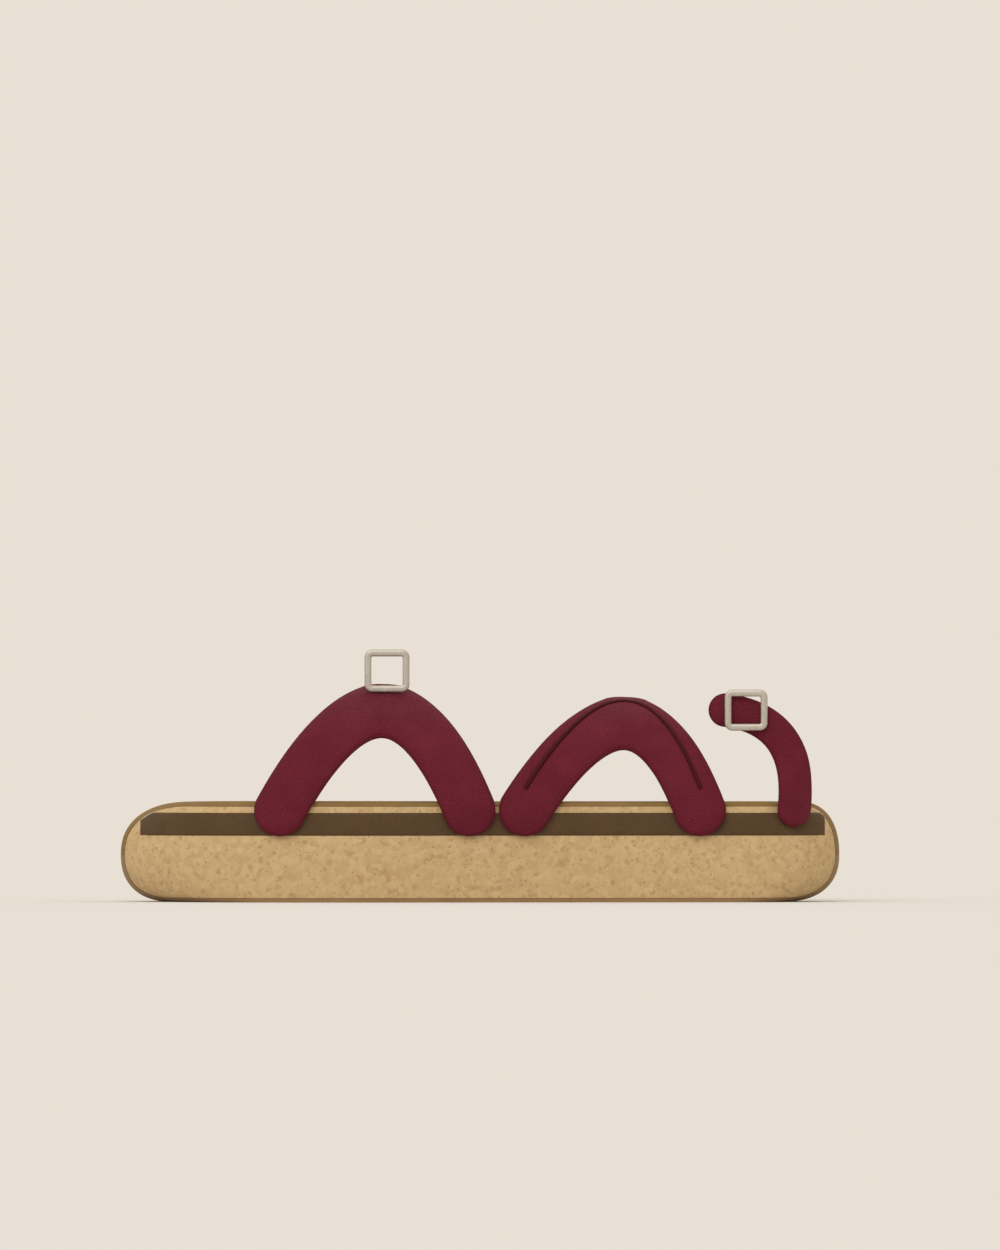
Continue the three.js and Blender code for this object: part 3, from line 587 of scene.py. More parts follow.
RUBBER_BROWN = srgb(130, 100, 65), srgb(142, 112, 74), srgb(152, 122, 82)
WARM_GREY = srgb(173, 166, 155), srgb(185, 178, 168), srgb(196, 190, 181)
rubber, _ = make_plain("outsole_rubber", RUBBER_BROWN, (50, 2000, 0.5), (0.82, 0.68), (0.4, 0.1))
buckle_metal, metal = make_plain("buckle_metal", WARM_GREY, (250, 3500, 0.5), (0.36, 0.5), (0.15, 0.05))
metal["Metallic"].default_value = METALNESS
print("plain finishes:", rubber.name, "and", buckle_metal.name)

# %% [markdown]
# ## Cork
# Pressed cork is a crowd of grains of slightly different tans, with a few dark crumbs and many fine specks
# between them. A soft cell pattern gives each grain its own tone, two finer ones with few dark cells give the
# crumbs and specks, and the distance to a grain's middle with a fine noise gives the low domes and pits.

# %% Cork
CORK_MOTTLE = (55, 1600, 0.4)
GRAIN_SCALE, GRAIN_SOFTNESS = 480.0, 0.4
TAN_PLACES = (0.15, 0.5, 0.85)
TANS = srgb(184, 155, 112), srgb(194, 166, 122), srgb(203, 176, 132)
# Crumbs and specks: cells in a metre, tone from which a cell is dark, strength, colour
DARK_GRAINS = [(620.0, 0.9, 0.5, srgb(168, 135, 93)), (1300.0, 0.93, 0.45, srgb(146, 110, 70))]
DARK_SOFTNESS, DARK_FADE = 0.1, 0.05
CORK_ROUGHNESS, CORK_BUMP, CORK_GLOSS = (0.82, 0.95), (0.7, 0.4), 0.3

cork, cork_tree, cork_shader, cork_mottle = start_material("cork", *CORK_MOTTLE)
cork_place = add_node(cork_tree, "ShaderNodeTexCoord").outputs["Object"]


def cork_cells(scale, softness):
    """A soft cell pattern; returns three random tones for each cell and the distance to its middle."""
    sizes = {"Scale": scale, "Smoothness": softness}
    cells = add_node(cork_tree, "ShaderNodeTexVoronoi", {"feature": "SMOOTH_F1"}, Vector=cork_place, **sizes)
    tones = add_node(cork_tree, "ShaderNodeSeparateColor", Color=cells.outputs["Color"])
    return tones.outputs, cells.outputs["Distance"]


grain_tones, grain_distance = cork_cells(GRAIN_SCALE, GRAIN_SOFTNESS)
tan = mix(cork_tree, "FLOAT", 0.5, grain_tones["Red"], cork_mottle["Factor"])
cork_colour = colour_ramp(cork_tree, tan, TAN_PLACES, TANS)
for scale, threshold, strength, dark in DARK_GRAINS:
    tones, _ = cork_cells(scale, DARK_SOFTNESS)
    fade = {"From_Min": threshold, "From_Max": threshold + DARK_FADE, "To_Max": strength}
    mask = add_node(cork_tree, "ShaderNodeMapRange", Value=tones["Green"], **fade)
    cork_colour = mix(cork_tree, "RGBA", mask.outputs["Result"], cork_colour, dark)
cork_height = mix(cork_tree, "FLOAT", 0.5, grain_distance, cork_mottle["Height"])
cork_look = cork_colour, grain_tones["Blue"], CORK_ROUGHNESS, cork_height, CORK_BUMP
give_finish(cork_tree, cork_shader, *cork_look, pits=True)
cork_shader["Specular IOR Level"].default_value = CORK_GLOSS
print("materials:", ", ".join(sorted(material.name for material in bpy.data.materials)))

# %% [markdown]
# ## Cover of the footbed
# A thin leather sheet lies over the whole bed and ends flush with the cork at the sides, where its cut
# edge shows as a brown line. At toe and heel it runs on over the bull nose as a tongue. Each section is a
# ring: the bed from rim to rim, the edge on the inner side, the hidden underside, the edge on the outer side.

# %% Sections of a layer
ACROSS_POINTS, WALL_POINTS = 71, 27
across = crowded(0, 1, ACROSS_POINTS + 2)[1:-1]
down = np.linspace(0, 1, WALL_POINTS)


def wall_between(stations, side, start, stop, shares):
    """Points on one side's wall in each section, from one turn to another."""
    turn = start[:, None] + (stop - start)[:, None] * shares
    return xyz(*wall_at(stations[:, None], side, turn))


def spanned(lateral, medial, height):
    """Points between the outer and the inner edge of each section; `height` gives z for places in plan."""
    x, y = (lateral[:, k, None] + (medial - lateral)[:, k, None] * across for k in (0, 1))
    return xyz(x, y, height(x, y))


def layer(lateral, medial, top, base):
    """Closed rings: along the top, down the inner wall, back along the base, up the outer wall."""
    over = spanned(lateral[:, 0], medial[:, 0], top)
    under = spanned(lateral[:, -1], medial[:, -1], base)
    return np.concatenate([over, medial, under[:, ::-1], lateral[:, ::-1]], axis=1)


print("sections:", len(station), "with", 2 * (ACROSS_POINTS + WALL_POINTS), "points each")

# %% Cover
EDGE_ROUND, TONGUE_FADE = 0.6, 6.0
LEAST_TURN, LEAST_SHEET = 0.0015, 0.03
edge_round = EDGE_ROUND * (1 - smooth(np.abs(rim_x - station), 0, TONGUE_FADE))
from_edge = np.minimum(across, 1 - across) * (rim_medial - rim_lateral)[:, None]
short = np.clip(edge_round[:, None] - from_edge, 0, None)
rounding = edge_round[:, None] - np.sqrt(edge_round[:, None] ** 2 - short**2)

cover_turns = turn_at(SOLE_HEIGHT - edge_round), np.maximum(edge_turn(station, SHEET, True), LEAST_TURN)
cover_walls = [wall_between(station, side, *cover_turns, down) for side in SIDES]
for wall, rim_y in zip(cover_walls, (rim_lateral, rim_medial)):
    wall[:, 0] = xyz(rim_x, rim_y, SOLE_HEIGHT - edge_round)
cover = layer(
    *cover_walls,
    lambda x, y: SOLE_HEIGHT - dish(x, y) - rounding,
    lambda x, y: bed_level(x, y, SHEET, LEAST_SHEET),
)
add_piece("insole_cover", cover, bed_leather, "footbed_leather", "insole")

# %% [markdown]
# ## Outsole
# The same recipe upside down: a thin rubber sheet under the cork, flat where it stands, with its cut edge
# showing along the sides and a tongue rising over toe and heel to meet the cover.

# %% Outsole
def floor_level(x, y):
    """Height of the floor: 0 everywhere."""
    return 0 * x


sole_turns = -np.maximum(edge_turn(station, SHEET, False), LEAST_TURN), np.full_like(station, -np.pi / 2)
sole_walls = [wall_between(station, side, *sole_turns, down) for side in SIDES]
outsole = layer(*sole_walls, lambda x, y: base_level(x, SHEET, LEAST_SHEET), floor_level)
add_piece("outsole_sheet", outsole, rubber, "outsole_rubber", "outsole")

# %% [markdown]
# ## Cork midsole
# The cork fills the space between the two sheets, with a hair's breadth between them, and its wall has a
# groove on each side for the dark strip. Extra columns stand at the groove's two edges, one on the wall
# and one at the bottom of the groove, so that its corners are crisp.

# %% Turns of the cork's wall
SEAM_GAP = 0.12
RAND_TOE, RAND_HEEL = -127.5, 129.4
RAND_LOW, RAND_HIGH = 25.1, 33.4
RAND_DEPTH, RAND_PROUD, RAND_SKIVE = 1.2, 0.4, 3.0
GROOVE_MARGIN = 0.004

cork_inset = SHEET + SEAM_GAP
cork_station = crowded(TOE + cork_inset, HEEL - cork_inset, STATIONS)
cork_top = edge_turn(cork_station, cork_inset, True)
cork_low = -edge_turn(cork_station, cork_inset, False)
groove_margin = np.minimum((cork_top - cork_low) / 4, GROOVE_MARGIN)
groove_top = np.minimum(turn_at(RAND_HIGH + SEAM_GAP), cork_top - groove_margin)
groove_low = np.minimum(turn_at(RAND_LOW - SEAM_GAP), groove_top)
# Stretches of the wall: first turn, last turn, number of points
cork_stretches = (cork_top, groove_top, 8), (groove_top, groove_low, 12), (groove_low, cork_low, 26)
print("turns of the groove:", groove_low.max().round(2), "to", groove_top.max().round(2))


# %% Cork block
def cork_wall(side):
    """The cork's wall from cover to outsole in three stretches, the middle one set in where the groove runs.

    The groove's depth is square to the outline, so the outline's slope lengthens the step across.
    """
    over, groove, below = (
        wall_between(cork_station, side, start, stop, np.linspace(0, 1, count))
        for start, stop, count in cork_stretches
    )
    x, y = groove[..., 0], groove[..., 1]
    slope = np.gradient(y, axis=0) / np.maximum(np.gradient(x, axis=0), 1e-6)
    in_groove = (x > RAND_TOE + RAND_SKIVE) & (x < RAND_HEEL - RAND_SKIVE)
    groove[..., 1] = y - side * np.where(in_groove, (RAND_DEPTH + SEAM_GAP) * np.hypot(1, slope), 0)
    return np.concatenate([over, groove, below], axis=1)


cork_walls = [cork_wall(side) for side in SIDES]
block = layer(
    *cork_walls,
    lambda x, y: bed_level(x, y, cork_inset, 0),
    lambda x, y: base_level(x, cork_inset, 0),
)

# The two end sections are flattened to a line, which shuts the block under the tongues.
flat_walls = [wall[:, :1].repeat(wall.shape[1], axis=1) for wall in cork_walls]
flat_ends = layer(*flat_walls, floor_level, floor_level)[[0, -1]]
flat_ends[..., 2] = NOSE_HEIGHT
add_piece("cork_midsole", np.concatenate([flat_ends[:1], block, flat_ends[1:]]), cork, "cork", "midsole")

# %% [markdown]
# ## Rands
# A dark leather strip lies in the groove on each side and stands a little proud of the cork. It stops
# short of the toe and heel tips, where its ends are skived thin and lie on the cork. Its section is a
# rectangle with rounded outer corners, carried along the wall, and its top stays under the cover.

# %% Half width at any place and height
def pulled_out(distance, push, span):
    """Undoes the push at an end: the root of the quadratic that the push makes of the distance."""
    a = np.maximum(push, 1e-9) / span**2
    b = 1 - 2 * push / span
    root = (np.sqrt(np.maximum(b * b - 4 * a * (push - distance), 0)) - b) / (2 * a)
    return np.where((distance >= span) | (push < 1e-6), distance, root)


def half_width(x, side, z):
    """Half width of the sole at any height: the outline at the nose, its ends pushed in as on the wall."""
    reach, toe_push, heel_push = half_sizes(z > NOSE_HEIGHT)
    push = 1 - rounded_end(reach - np.abs(z - NOSE_HEIGHT), reach, ROLL_POWER)
    from_toe = pulled_out(x - TOE, toe_push * push, TOE_SPAN)
    from_heel = pulled_out(HEEL - x, heel_push * push, HEEL_SPAN)
    place = np.where(x < 0, TOE + from_toe, HEEL - from_heel)
    return np.maximum(nose_half_width(place, side) - wall_taper(z), 0)


def wall_out(x, side, distance, z):
    """Half width moved out by a distance square to the outline: the slope lengthens the step across."""
    slope = half_width(x + 0.5, side, z) - half_width(x - 0.5, side, z)
    return half_width(x, side, z) + distance * np.hypot(1, slope)


print("half width at the strip, in the middle:", half_width(0.0, LATERAL, RAND_LOW).round(1))

# %% Rand strips
RAND_ROWS = 241
SINK_START, SINK_END = RAND_SKIVE + 1, RAND_SKIVE + 4
# Section of a strip from its lower to its upper edge: share of the height, and how far it stands out
FACE_RISE = np.array([0, 0.04, 0.1, 0.3, 0.5, 0.7, 0.9, 0.96, 1])
FACE_OUT = np.array([0.1, 0.3, *5 * [RAND_PROUD], 0.3, 0.1])
BACK_RISE = np.linspace(1, 0, 5)


def rand_strip(side):
    """The section carried along the wall; the first and last row shrink to a line and close the ends."""
    x = crowded(RAND_TOE, RAND_HEEL, RAND_ROWS)
    x = np.r_[x[0], x, x[-1]][:, None]
    from_end = np.minimum(x - RAND_TOE, RAND_HEEL - x)
    sunk = SEAM_GAP / 4 - (RAND_DEPTH + SEAM_GAP / 4) * smooth(from_end, SINK_START, SINK_END)
    out = np.concatenate([np.tile(FACE_OUT, (len(x), 1)), sunk.repeat(len(BACK_RISE), axis=1)], axis=1)
    top = np.minimum(RAND_HIGH, NOSE_HEIGHT + layer_reach(x, cork_inset, True) - SEAM_GAP)
    z = RAND_LOW + (top - RAND_LOW) * np.r_[FACE_RISE, BACK_RISE]
    out[[0, -1]] = RAND_PROUD / 2
    z[[0, -1]] = z[[0, -1]].mean(axis=1, keepdims=True)
    return xyz(x, side * wall_out(x, side, out, z), z)


for side, word in ((LATERAL, "lateral"), (MEDIAL, "medial")):
    add_piece(f"rand_strip_{word}", rand_strip(side), rand_leather, "rand_leather", f"rand_{word}")

# %% [markdown]
# ## Last
# The straps lie where the foot would hold them, so they are drawn on a last: in each section an arch from
# the sole's outer wall over a ridge to its inner wall. Angle 0 is the spring of the arch, a right angle is
# the ridge, and below 0 the wall goes straight down the side of the sole.

# %% Last
LAST_SHARES = [0.1, 0.3, 0.636, 0.9]
LAST_RIDGE = [1, 2.5, 6, 6]
LAST_CROWN = [74.6, 75.1, 79.95, 79]
LAST_SPRING, LAST_POWER = 33.0, 2.25
STRAP_WALL, STRAP_PAD, STRAP_ROLL = 1.8, 1.8, 7.0
STRAP_GAP = 0.45
STANDOFF = RAND_PROUD + STRAP_GAP + STRAP_WALL


def crown_at(x):
    """Height of the last's ridge."""
    return table_at(LAST_SHARES, LAST_CROWN, share_at(x))


def last_section(x, side):
    """Ridge, height of the arch over its spring, and the wall, for each section."""
    ridge = table_at(LAST_SHARES, LAST_RIDGE, share_at(x))
    return ridge, crown_at(x) - LAST_SPRING, side * wall_out(x, side, STANDOFF, np.full_like(x, NOSE_HEIGHT))


def last_point(x, angle, side):
    """The arch: height goes with the sine, reach from the ridge with a power of the cosine."""
    ridge, rise, wall = last_section(x, side)
    lean = np.where(angle > 0, np.clip(np.cos(angle), 0, 1) ** (2 / LAST_POWER), 1)
    z = LAST_SPRING + rise * np.where(angle > 0, np.sin(angle), angle)
    return xyz(x, ridge + (wall - ridge) * lean, z)


def unit(vectors):
    """Vectors of length 1."""
    return vectors / np.maximum(np.linalg.norm(vectors, axis=-1, keepdims=True), 1e-9)


def last_normal(x, angle, side):
    """The slope of (reach over width) to a power plus (height over rise) squared, which is 1 on the arch."""
    _, y, z = np.moveaxis(last_point(x, angle, side), -1, 0)
    over = np.maximum(z - LAST_SPRING, 0)

    def level(at):
        """That sum in another section, for the same places across and up."""
        ridge, rise, wall = last_section(at, side)
        return (np.abs(y - ridge) / np.abs(wall - ridge)) ** LAST_POWER + (over / rise) ** 2

    ridge, rise, wall = last_section(x, side)
    width = np.abs(wall - ridge)
    along_y = side * LAST_POWER / width * (np.abs(y - ridge) / width) ** (LAST_POWER - 1)
    return unit(xyz(level(x + 0.5) - level(x - 0.5), along_y, 2 * over / rise**2))


def last_angle(x, z):
    """The angle at which the last has a height."""
    up = (z - LAST_SPRING) / (crown_at(x) - LAST_SPRING)
    return np.where(up > 0, np.arcsin(np.clip(up, 0, 1)), up)


print("crown of the last at its middle:", crown_at(0.0).round(1))

# %% [markdown]
# ## Bands
# A strap is cut flat, padded, and its edges are turned. As a surface it is a grid of rows across the strap.
# The outer face swells from the edges to the full padding, the inner face lies a wall's thickness inside,
# and a half round joins them at each edge.

# %% Rows along a drawn path
CAP_ROWS = 17


def bezier(points, t):
    """A curve with three points: weights (1-t) squared, 2t(1-t) and t squared; also its unit direction."""
    a, b, c = np.asarray(points, float)
    t = t[:, None]
    return (1 - t) ** 2 * a + 2 * t * (1 - t) * b + t**2 * c, unit((1 - t) * (b - a) + t * (c - b))


def path_rows(points, t, half, caps=(True, True)):
    """Rows of a strap seen from the side: times, hubs, right and left edges; a capped end is a half round."""
    cap = np.linspace(np.pi / 2, 0, CAP_ROWS + 1)[:-1]
    lead, tail = (cap if capped else cap[:0] for capped in caps)
    turn = np.r_[-lead, np.zeros(len(t)), tail[::-1]]
    times, reach = (np.r_[row[:1].repeat(len(lead)), row, row[-1:].repeat(len(tail))] for row in (t, half))
    hub, along = bezier(points, times)
    left = np.stack([-along[:, 1], along[:, 0]], axis=1)
    middle = hub + along * (np.sin(turn) * reach)[:, None]
    offset = left * (np.cos(turn) * reach)[:, None]
    return times, hub, middle - offset, middle + offset


# %% Distance from an edge
BLOCK = 1500


def edge_distance(points, starts, ends):
    """Distance from each point of a grid to the nearest of many short lines, a block of points at a time."""
    flat = points.reshape(-1, 3)
    spans = ends - starts
    squares = np.maximum((spans**2).sum(axis=1), 1e-12)
    blocks = []
    for block in np.array_split(flat, max(len(flat) // BLOCK, 1)):
        away = block[:, None] - starts
        share = np.clip((away * spans).sum(axis=2) / squares, 0, 1)
        blocks.append(np.linalg.norm(away - share[..., None] * spans, axis=2).min(axis=1))
    return np.concatenate(blocks).reshape(points.shape[:2])


# %% A closed band from a grid
COLUMNS = crowded(-1, 1, 37)
EDGE_STEPS = 5
EDGE_FADE, EDGE_SHARE = 0.7, 0.6


def edge_round_out(base, normal, hub, column, wall, bulge):
    """A half round from the outer to the inner face at one edge, bulging away from the row's hub."""
    outward = base[:, column] - hub
    outward = unit(outward - (outward * normal[:, column]).sum(axis=1, keepdims=True) * normal[:, column])
    turn = np.linspace(0, np.pi, EDGE_STEPS + 2)[1:-1]
    sunk = normal[:, column, None] * (wall / 2 * (np.cos(turn) - 1))[None, :, None]
    return base[:, column, None] + sunk + outward[:, None] * (bulge[:, None] * np.sin(turn))[..., None]


def band_rings(base, normal, hub, swell, wall, right_bulge, left_bulge):
    """Rings round a band: outer face, left edge, inner face, right edge."""
    left = edge_round_out(base, normal, hub, -1, wall, left_bulge)
    right = edge_round_out(base, normal, hub, 0, wall, right_bulge)
    inner = base - normal * wall
    return np.concatenate([base + normal * swell[..., None], left, inner[:, ::-1], right[:, ::-1]], axis=1)


def edge_rings(distance):
    """Each point's share in the cut edge: all of it on the half rounds, fading away on the faces."""
    face = np.exp(-distance / EDGE_FADE)
    wrap = np.ones((len(distance), EDGE_STEPS))
    return EDGE_SHARE * np.concatenate([face, wrap, face[:, ::-1], wrap], axis=1)


def swelling(distance, pad, roll):
    """A quarter ellipse: 0 at the edge, the full padding from `roll` inwards."""
    near = 1 - np.clip(distance / roll, 0, 1)
    return pad * np.sqrt(1 - near**2)


print("padding of a strap 2 mm from its edge:", swelling(2.0, STRAP_PAD, STRAP_ROLL).round(2))

# %% [markdown]
# ## Arched straps
# Each strap is one piece of leather. Seen from the side it is an arch with round ends, the same on both
# sides of the foot, and over the ridge both arches run into one bridge. So each side is a grid, the rows in
# the middle end on the ridge, and there the two sides share their points. Under the top of the arch, where
# the bend is tightest, the leather has a few very soft creases.

# %% One side of an arched strap
STRAP_HALF, STRAP_FOOT, BULGE = 9.75, 34.5, 0.55
LEG_ROWS, BRIDGE_ROWS, TIME_STEPS = 56, 41, 4001
column_share = (COLUMNS + 1) / 2


def bridge_times(arch, half):
    """The two times at which the strap's outer edge passes the ridge, read off a fine scale."""
    t = np.linspace(0, 1, TIME_STEPS)
    _, _, _, left = path_rows(arch, t, np.full_like(t, half), caps=(False, False))
    above = t[left[:, 1] > crown_at(left[:, 0])]
    return above[0], above[-1]


def arch_side(arch, side, half):
    """One side of a strap: points and normals on the last, hubs, which rows are on the bridge, times."""
    front, rear = bridge_times(arch, half)
    bridge = np.linspace(front, rear, BRIDGE_ROWS)[1:]
    t = np.r_[np.linspace(0, front, LEG_ROWS), bridge, np.linspace(rear, 1, LEG_ROWS)[1:]]
    times, hub, right, left = path_rows(arch, t, np.full_like(t, half))
    on_bridge = (times >= front) & (times <= rear)
    right_angle, left_angle = (last_angle(*edge.T) for edge in (right, left))
    left_angle = np.where(on_bridge, np.pi / 2, left_angle)
    x = right[:, :1] + (left[:, :1] - right[:, :1]) * column_share
    angle = right_angle[:, None] + (left_angle - right_angle)[:, None] * column_share
    hub_points = last_point(hub[:, 0], last_angle(*hub.T), side)
    return last_point(x, angle, side), last_normal(x, angle, side), hub_points, on_bridge, times


# %% Arched straps
FOREFOOT_ARCH = [(-75, STRAP_FOOT), (-34.1, STRAP_FOOT + 75), (-3.8, STRAP_FOOT)]
INSTEP_ARCH = [(16.9, STRAP_FOOT), (58.1, STRAP_FOOT + 65.6), (82.5, STRAP_FOOT)]
CREASE_MIDDLE, CREASE_SPACING, CREASE_SPREAD, CREASE_DEPTH = 0.49, 0.065, 0.08, 0.16
CREASE_RISE, CREASE_FALL = (0.4, 3.0), (4.0, 12.0)
BULGE_FADE = 12


def creases(times, from_inner):
    """Soft troughs and ridges where the bend presses the leather: a cosine along the strap under a bell.

    Across the strap they start a little inside the inner edge of the bend and fade out.
    """
    away = times - CREASE_MIDDLE
    along = np.cos(2 * np.pi * away / CREASE_SPACING) * np.exp(-((away / CREASE_SPREAD) ** 2))
    inside = smooth(from_inner, *CREASE_RISE) * (1 - smooth(from_inner, *CREASE_FALL))
    return CREASE_DEPTH * along[:, None] * inside


def edge_lines(base, on_bridge):
    """The short lines along the edges of one side, without the stretch on the bridge."""
    free = ~(on_bridge[:-1] & on_bridge[1:])
    starts = np.concatenate([base[:-1, 0], base[:-1, -1][free]])
    return starts, np.concatenate([base[1:, 0], base[1:, -1][free]])


def arched_strap(arch, groove=None):
    """Both sides as rings, with quads and edge shares; `groove` gives how deep the outer face is sunk."""
    half = STRAP_HALF - BULGE
    sides = [arch_side(arch, side, half) for side in SIDES]
    lines = [edge_lines(base, on_bridge) for base, _, _, on_bridge, _ in sides]
    starts, ends = (np.concatenate(part) for part in zip(*lines))
    rings, faces, edges, done = [], [], [], 0
    for base, normal, hub, on_bridge, times in sides:
        distance = edge_distance(base, starts, ends)
        swell = swelling(distance, STRAP_PAD, STRAP_ROLL) - creases(times, half * (COLUMNS + 1))
        swell = swell if groove is None else swell - groove(base)
        row = np.arange(len(times))
        from_bridge = np.abs(row[:, None] - row[on_bridge]).min(axis=1)
        bulge = np.full(len(row), BULGE)
        left_bulge = bulge * smooth(from_bridge, 0, BULGE_FADE)
        ring = band_rings(base, normal, hub, swell, STRAP_WALL, bulge, left_bulge)
        quads = ring_faces(*ring.shape[:2])
        past_face = np.arange(quads.shape[1]) - (len(COLUMNS) - 1)
        joined = (on_bridge[:-1] & on_bridge[1:])[:, None] & (past_face >= 0) & (past_face <= EDGE_STEPS)
        rings.append(ring.reshape(-1, 3))
        faces.append(quads[~joined] + done)
        edges.append(edge_rings(distance).ravel())
        done += len(rings[-1])
    return np.concatenate(rings), {"quads": np.concatenate(faces), "edge": np.concatenate(edges)}


points, links = arched_strap(FOREFOOT_ARCH)
add_piece("forefoot_band", points, strap_leather, "strap_leather", "forefoot_strap", **links)

# %% [markdown]
# ## Seam of the instep strap
# A dark corded seam runs under the top edge of the instep strap, from one leg over to the other, on both
# sides of the foot. The leather is sunk along it, and a thin dark cord lies in the hollow.

# %% Instep strap with its seam
SEAM_LIFT, SEAM_DEPTH, SEAM_SPREAD = 8.25, 0.6, 0.9
SEAM_POINTS = 90
seam_place, _ = bezier([(x, z + SEAM_LIFT) for x, z in INSTEP_ARCH], np.linspace(0, 1, SEAM_POINTS))
seam_x, seam_z = seam_place.T
seam_share = np.clip(last_angle(seam_x, seam_z), 0, None) / (np.pi / 2)
seam_angle = last_angle(seam_x, seam_z - STRAP_PAD * seam_share)
seam_lines = {side: last_point(seam_x, seam_angle, side) for side in SIDES}


def seam_groove(base):
    """A round-bottomed hollow: a bell of the distance from the seam, deepest on the seam itself."""
    starts = np.concatenate([line[:-1] for line in seam_lines.values()])
    ends = np.concatenate([line[1:] for line in seam_lines.values()])
    return SEAM_DEPTH * np.exp(-((edge_distance(base, starts, ends) / SEAM_SPREAD) ** 2))


points, links = arched_strap(INSTEP_ARCH, seam_groove)
add_piece("instep_band", points, strap_leather, "strap_leather", "instep_strap", **links)

# %% Seam cord
CORD_RADIUS, CORD_SIDES, CORD_LIFT = 0.7, 10, 0.35


def tube(line, normal):
    """A round tube along a line: each ring is a circle in the plane of the normal and the side direction."""
    along = unit(np.gradient(line, axis=0))
    sideways = unit(np.cross(along, normal))
    up = np.cross(sideways, along)
    turn = np.linspace(0, 2 * np.pi, CORD_SIDES + 1)[None, :-1, None]
    radius = np.r_[0, np.full(len(line) - 2, CORD_RADIUS), 0][:, None, None]
    return line[:, None] + radius * (np.cos(turn) * sideways[:, None] + np.sin(turn) * up[:, None])


cords = []
doubled = np.r_[0, np.arange(SEAM_POINTS), SEAM_POINTS - 1]
end_step = np.r_[-1e-3, np.zeros(SEAM_POINTS), 1e-3][:, None]
for side, line in seam_lines.items():
    normal = last_normal(seam_x, seam_angle, side)
    lifted = line + normal * (STRAP_PAD - SEAM_DEPTH + CORD_LIFT)
    cords.append(tube(lifted[doubled] + end_step, normal[doubled]))
cord_quads = ring_faces(*cords[0].shape[:2])
cord_quads = np.stack([cord_quads, cord_quads + cords[0].size // 3])
add_piece("instep_seam", np.stack(cords), seam_leather, "strap_leather", quads=cord_quads)

# %% [markdown]
# ## Heel strap
# The heel strap is a loop, shown swung forward. Its outer arm curves up from the sole to a round tip and
# carries the buckle. Its inner arm mirrors it, narrows, turns across in front of the heel and runs back
# inside the outer arm. At its foot each arm lies on the wall of the sole, and higher up it stands upright.

# %% Arms of the heel strap
HEEL_HALF = 6.3
HOOK = [(118.15, STRAP_FOOT), (121.5, 68.1), (91.95, 72.0)]
ARM_REACH, ARM_BLEND, ARM_ROWS = 29.5, 20.0, 70
HEEL_WALL, HEEL_PAD, HEEL_ROLL_OVER, HEEL_BULGE = 1.6, 1.2, 4.5, 0.45
HEEL_GAP = 0.3
HEEL_STANDOFF = RAND_PROUD + HEEL_GAP + HEEL_WALL


def arm_reach(x, z, side):
    """Distance from the long axis: the wall at the foot, the arm's reach higher up, a soft step between."""
    wall = wall_out(x, side, HEEL_STANDOFF, np.full_like(x, STRAP_FOOT - HEEL_HALF))
    return wall + (ARM_REACH - wall) * smooth(z, SOLE_HEIGHT, SOLE_HEIGHT + ARM_BLEND)


def arm_side(x, z, side):
    """Points and normals of an arm; the normal comes from the slope of the reach in both directions."""
    slope_x = arm_reach(x + 0.5, z, side) - arm_reach(x - 0.5, z, side)
    slope_z = arm_reach(x, z + 0.5, side) - arm_reach(x, z - 0.5, side)
    return xyz(x, side * arm_reach(x, z, side), z), unit(xyz(-slope_x, side, -slope_z))


def arm_rows(hook, t, half, side, caps):
    """The rows of an arm along a hook, as points, normals and hubs."""
    _, hub, right, left = path_rows(hook, t, half, caps)
    place = right[:, None] + (left - right)[:, None] * column_share[None, :, None]
    return *arm_side(place[..., 0], place[..., 1], side), arm_side(*hub.T, side)[0]


def heel_band(base, normal, hub, pad, roll):
    """Rings and edges of a band with two free edges and closed ends."""
    starts = np.concatenate([base[:-1, 0], base[:-1, -1], base[-1, :-1]])
    ends = np.concatenate([base[1:, 0], base[1:, -1], base[-1, 1:]])
    distance = edge_distance(base, starts, ends)
    bulge = np.full(len(base), HEEL_BULGE)
    rings = band_rings(base, normal, hub, swelling(distance, pad, roll), HEEL_WALL, bulge, bulge)
    return rings, edge_rings(distance)


hook_t = np.linspace(0, 1, ARM_ROWS)
outer_arm = arm_rows(HOOK, hook_t, np.full_like(hook_t, HEEL_HALF - HEEL_BULGE), LATERAL, (True, True))
rings, edge = heel_band(*outer_arm, HEEL_PAD, HEEL_ROLL_OVER)
add_piece("heel_band_lateral", rings, strap_leather, "strap_leather", "heel_strap_lateral", edge=edge)

# %% Path of the loop
LOOP_START, LOOP_FRONT, LOOP_END, LOOP_LEVEL = 99.0, 88.6, 103.0, 70.5
LOOP_HALF, LOOP_POWER, LOOP_ROWS = 4.1, 3.0, 91
LOOP_PAD, LOOP_ROLL = 0.6, 3.0

inside_reach = ARM_REACH - HEEL_WALL - HEEL_GAP - LOOP_PAD
loop_turn = np.linspace(np.pi / 2, -np.pi / 2, LOOP_ROWS)
forward = np.clip(np.cos(loop_turn), 0, 1) ** (2 / LOOP_POWER)
outward = np.sign(loop_turn) * np.abs(np.sin(loop_turn)) ** (2 / LOOP_POWER)
loop_x = np.r_[LOOP_START + (LOOP_FRONT - LOOP_START) * forward, LOOP_END]
loop_y = np.r_[np.where(loop_turn > 0, ARM_REACH, inside_reach) * outward, -inside_reach]
along_x, along_y = unit(np.stack([np.gradient(loop_x), np.gradient(loop_y)], axis=1)).T
print("the loop runs inside the outer arm at", round(inside_reach, 1), "from the axis")

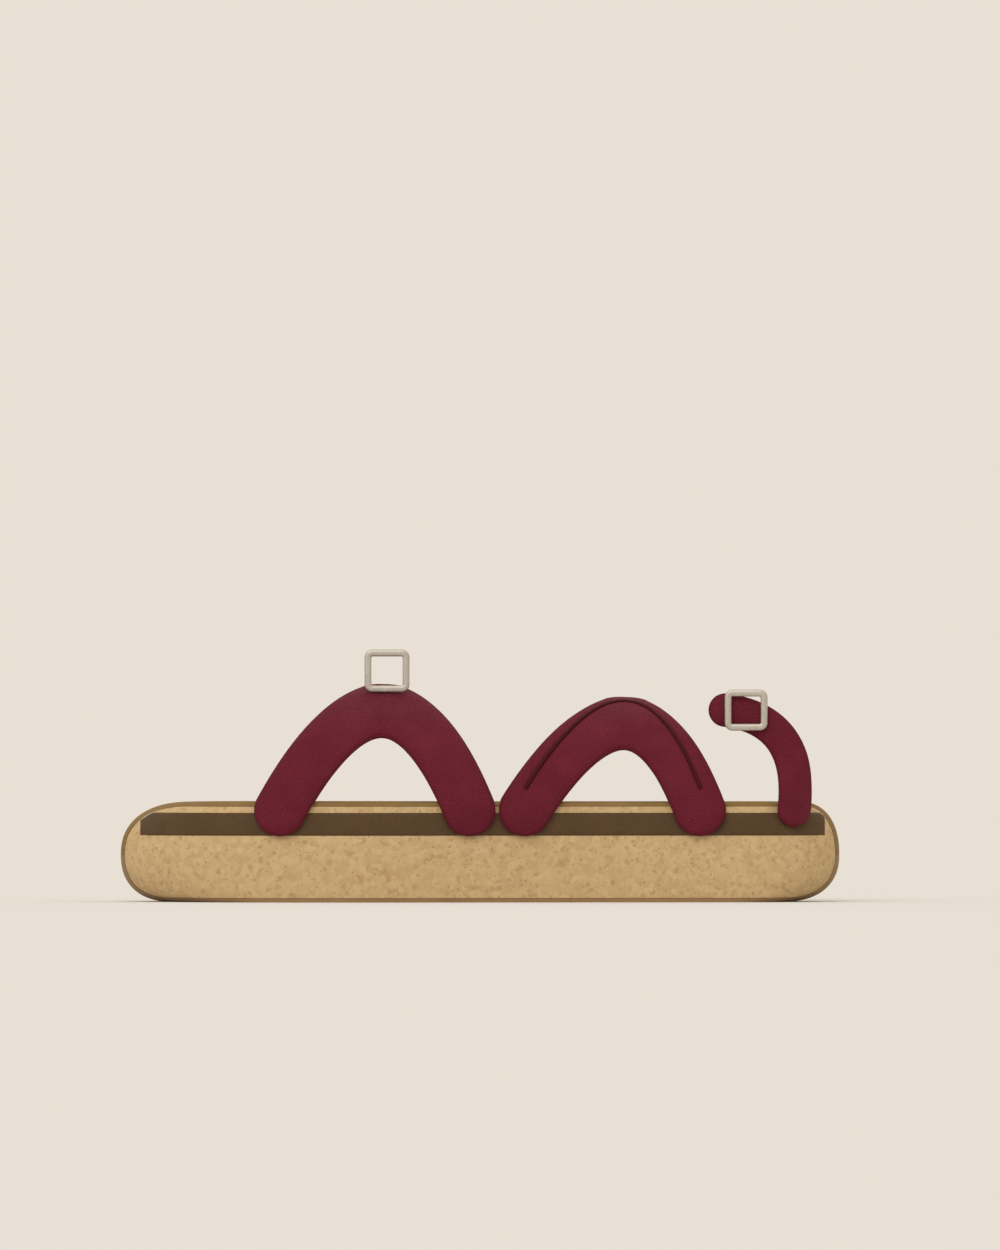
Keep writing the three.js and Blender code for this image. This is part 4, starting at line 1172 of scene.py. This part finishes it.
# %% Inner arm and loop
INNER_HOOK = [(118.15, STRAP_FOOT), (121.0, LOOP_LEVEL), (LOOP_START, LOOP_LEVEL)]
INNER_ROWS, NARROWING = 60, (-0.3, 0.7)
arm_half, loop_half = HEEL_HALF - HEEL_BULGE, LOOP_HALF - HEEL_BULGE
arm_t = np.linspace(0, 1, INNER_ROWS)[:-1]
inner_half = arm_half + (loop_half - arm_half) * smooth(arm_t, *NARROWING)
arm_base, arm_normal, arm_hub = arm_rows(INNER_HOOK, arm_t, inner_half, MEDIAL, (True, False))

loop_base = xyz(loop_x[:, None], loop_y[:, None], LOOP_LEVEL - COLUMNS * loop_half)
loop_normal = xyz(along_y[:, None], -along_x[:, None], 0 * COLUMNS)
loop_hub = xyz(loop_x, loop_y, LOOP_LEVEL)
pairs = (arm_base, loop_base), (arm_normal, loop_normal), (arm_hub, loop_hub)
rings, edge = heel_band(*(np.concatenate(pair) for pair in pairs), LOOP_PAD, LOOP_ROLL)
end_row = rings[-1:].mean(axis=1, keepdims=True).repeat(rings.shape[1], axis=1)
rings, edge = np.concatenate([rings, end_row]), np.concatenate([edge, edge[-1:]])
add_piece("heel_band_medial", rings, strap_leather, "strap_leather", "heel_strap_medial", edge=edge)

# %% [markdown]
# ## Buckles
# Both buckles are square frames of flat wire with round outer corners and square inner ones. A ring of
# points goes round between an inner and an outer outline, and a squarish section is carried along it.

# %% Buckle frames
FRAME_BAR = 2.6
OUTER_CORNER, INNER_CORNER = 3.0, 0.5
CORNER_STEPS, WIRE_SIDES, WIRE_POWER = 14, 24, 0.6


def rounded_rectangle(half_wide, half_high, radius):
    """A rectangle with round corners: equal angles on each corner's quarter circle, joined by the sides."""
    turn = np.linspace(0, np.pi / 2, CORNER_STEPS)
    turns = np.concatenate([turn + k * np.pi / 2 for k in range(4)])
    corner_x = np.repeat([1, -1, -1, 1], CORNER_STEPS) * (half_wide - radius)
    corner_z = np.repeat([1, 1, -1, -1], CORNER_STEPS) * (half_high - radius)
    return np.stack([corner_x + radius * np.cos(turns), corner_z + radius * np.sin(turns)], axis=1)


def squarish(wave):
    """A sine or cosine swelled towards its ends, which makes a circle squarish."""
    return np.sign(wave) * np.abs(wave) ** WIRE_POWER


def buckle_frame(box):
    """A closed ring of rounded sections between the inner and the outer outline, upright in the XZ plane."""
    middle, (half_wide, half_deep, half_high) = box.mean(axis=0), (box[1] - box[0]) / 2
    outer = rounded_rectangle(half_wide, half_high, OUTER_CORNER)
    inner = rounded_rectangle(half_wide - FRAME_BAR, half_high - FRAME_BAR, INNER_CORNER)
    turn = np.linspace(0, 2 * np.pi, WIRE_SIDES + 1)[:-1]
    flat = inner[:, None] + (outer - inner)[:, None] * ((1 + squarish(np.cos(turn))) / 2)[None, :, None]
    y = middle[1] - AXIS_SHIFT + squarish(np.sin(turn)) * half_deep
    rings = xyz(middle[0] + flat[..., 0], y, middle[2] + flat[..., 1])
    return np.concatenate([rings, rings[:1]])


for word in ("forefoot", "heel"):
    rings = buckle_frame(np.array(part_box(f"{word}_buckle")) / MM)
    add_piece(f"{word}_buckle_frame", rings, buckle_metal, "buckle_metal", f"{word}_buckle")
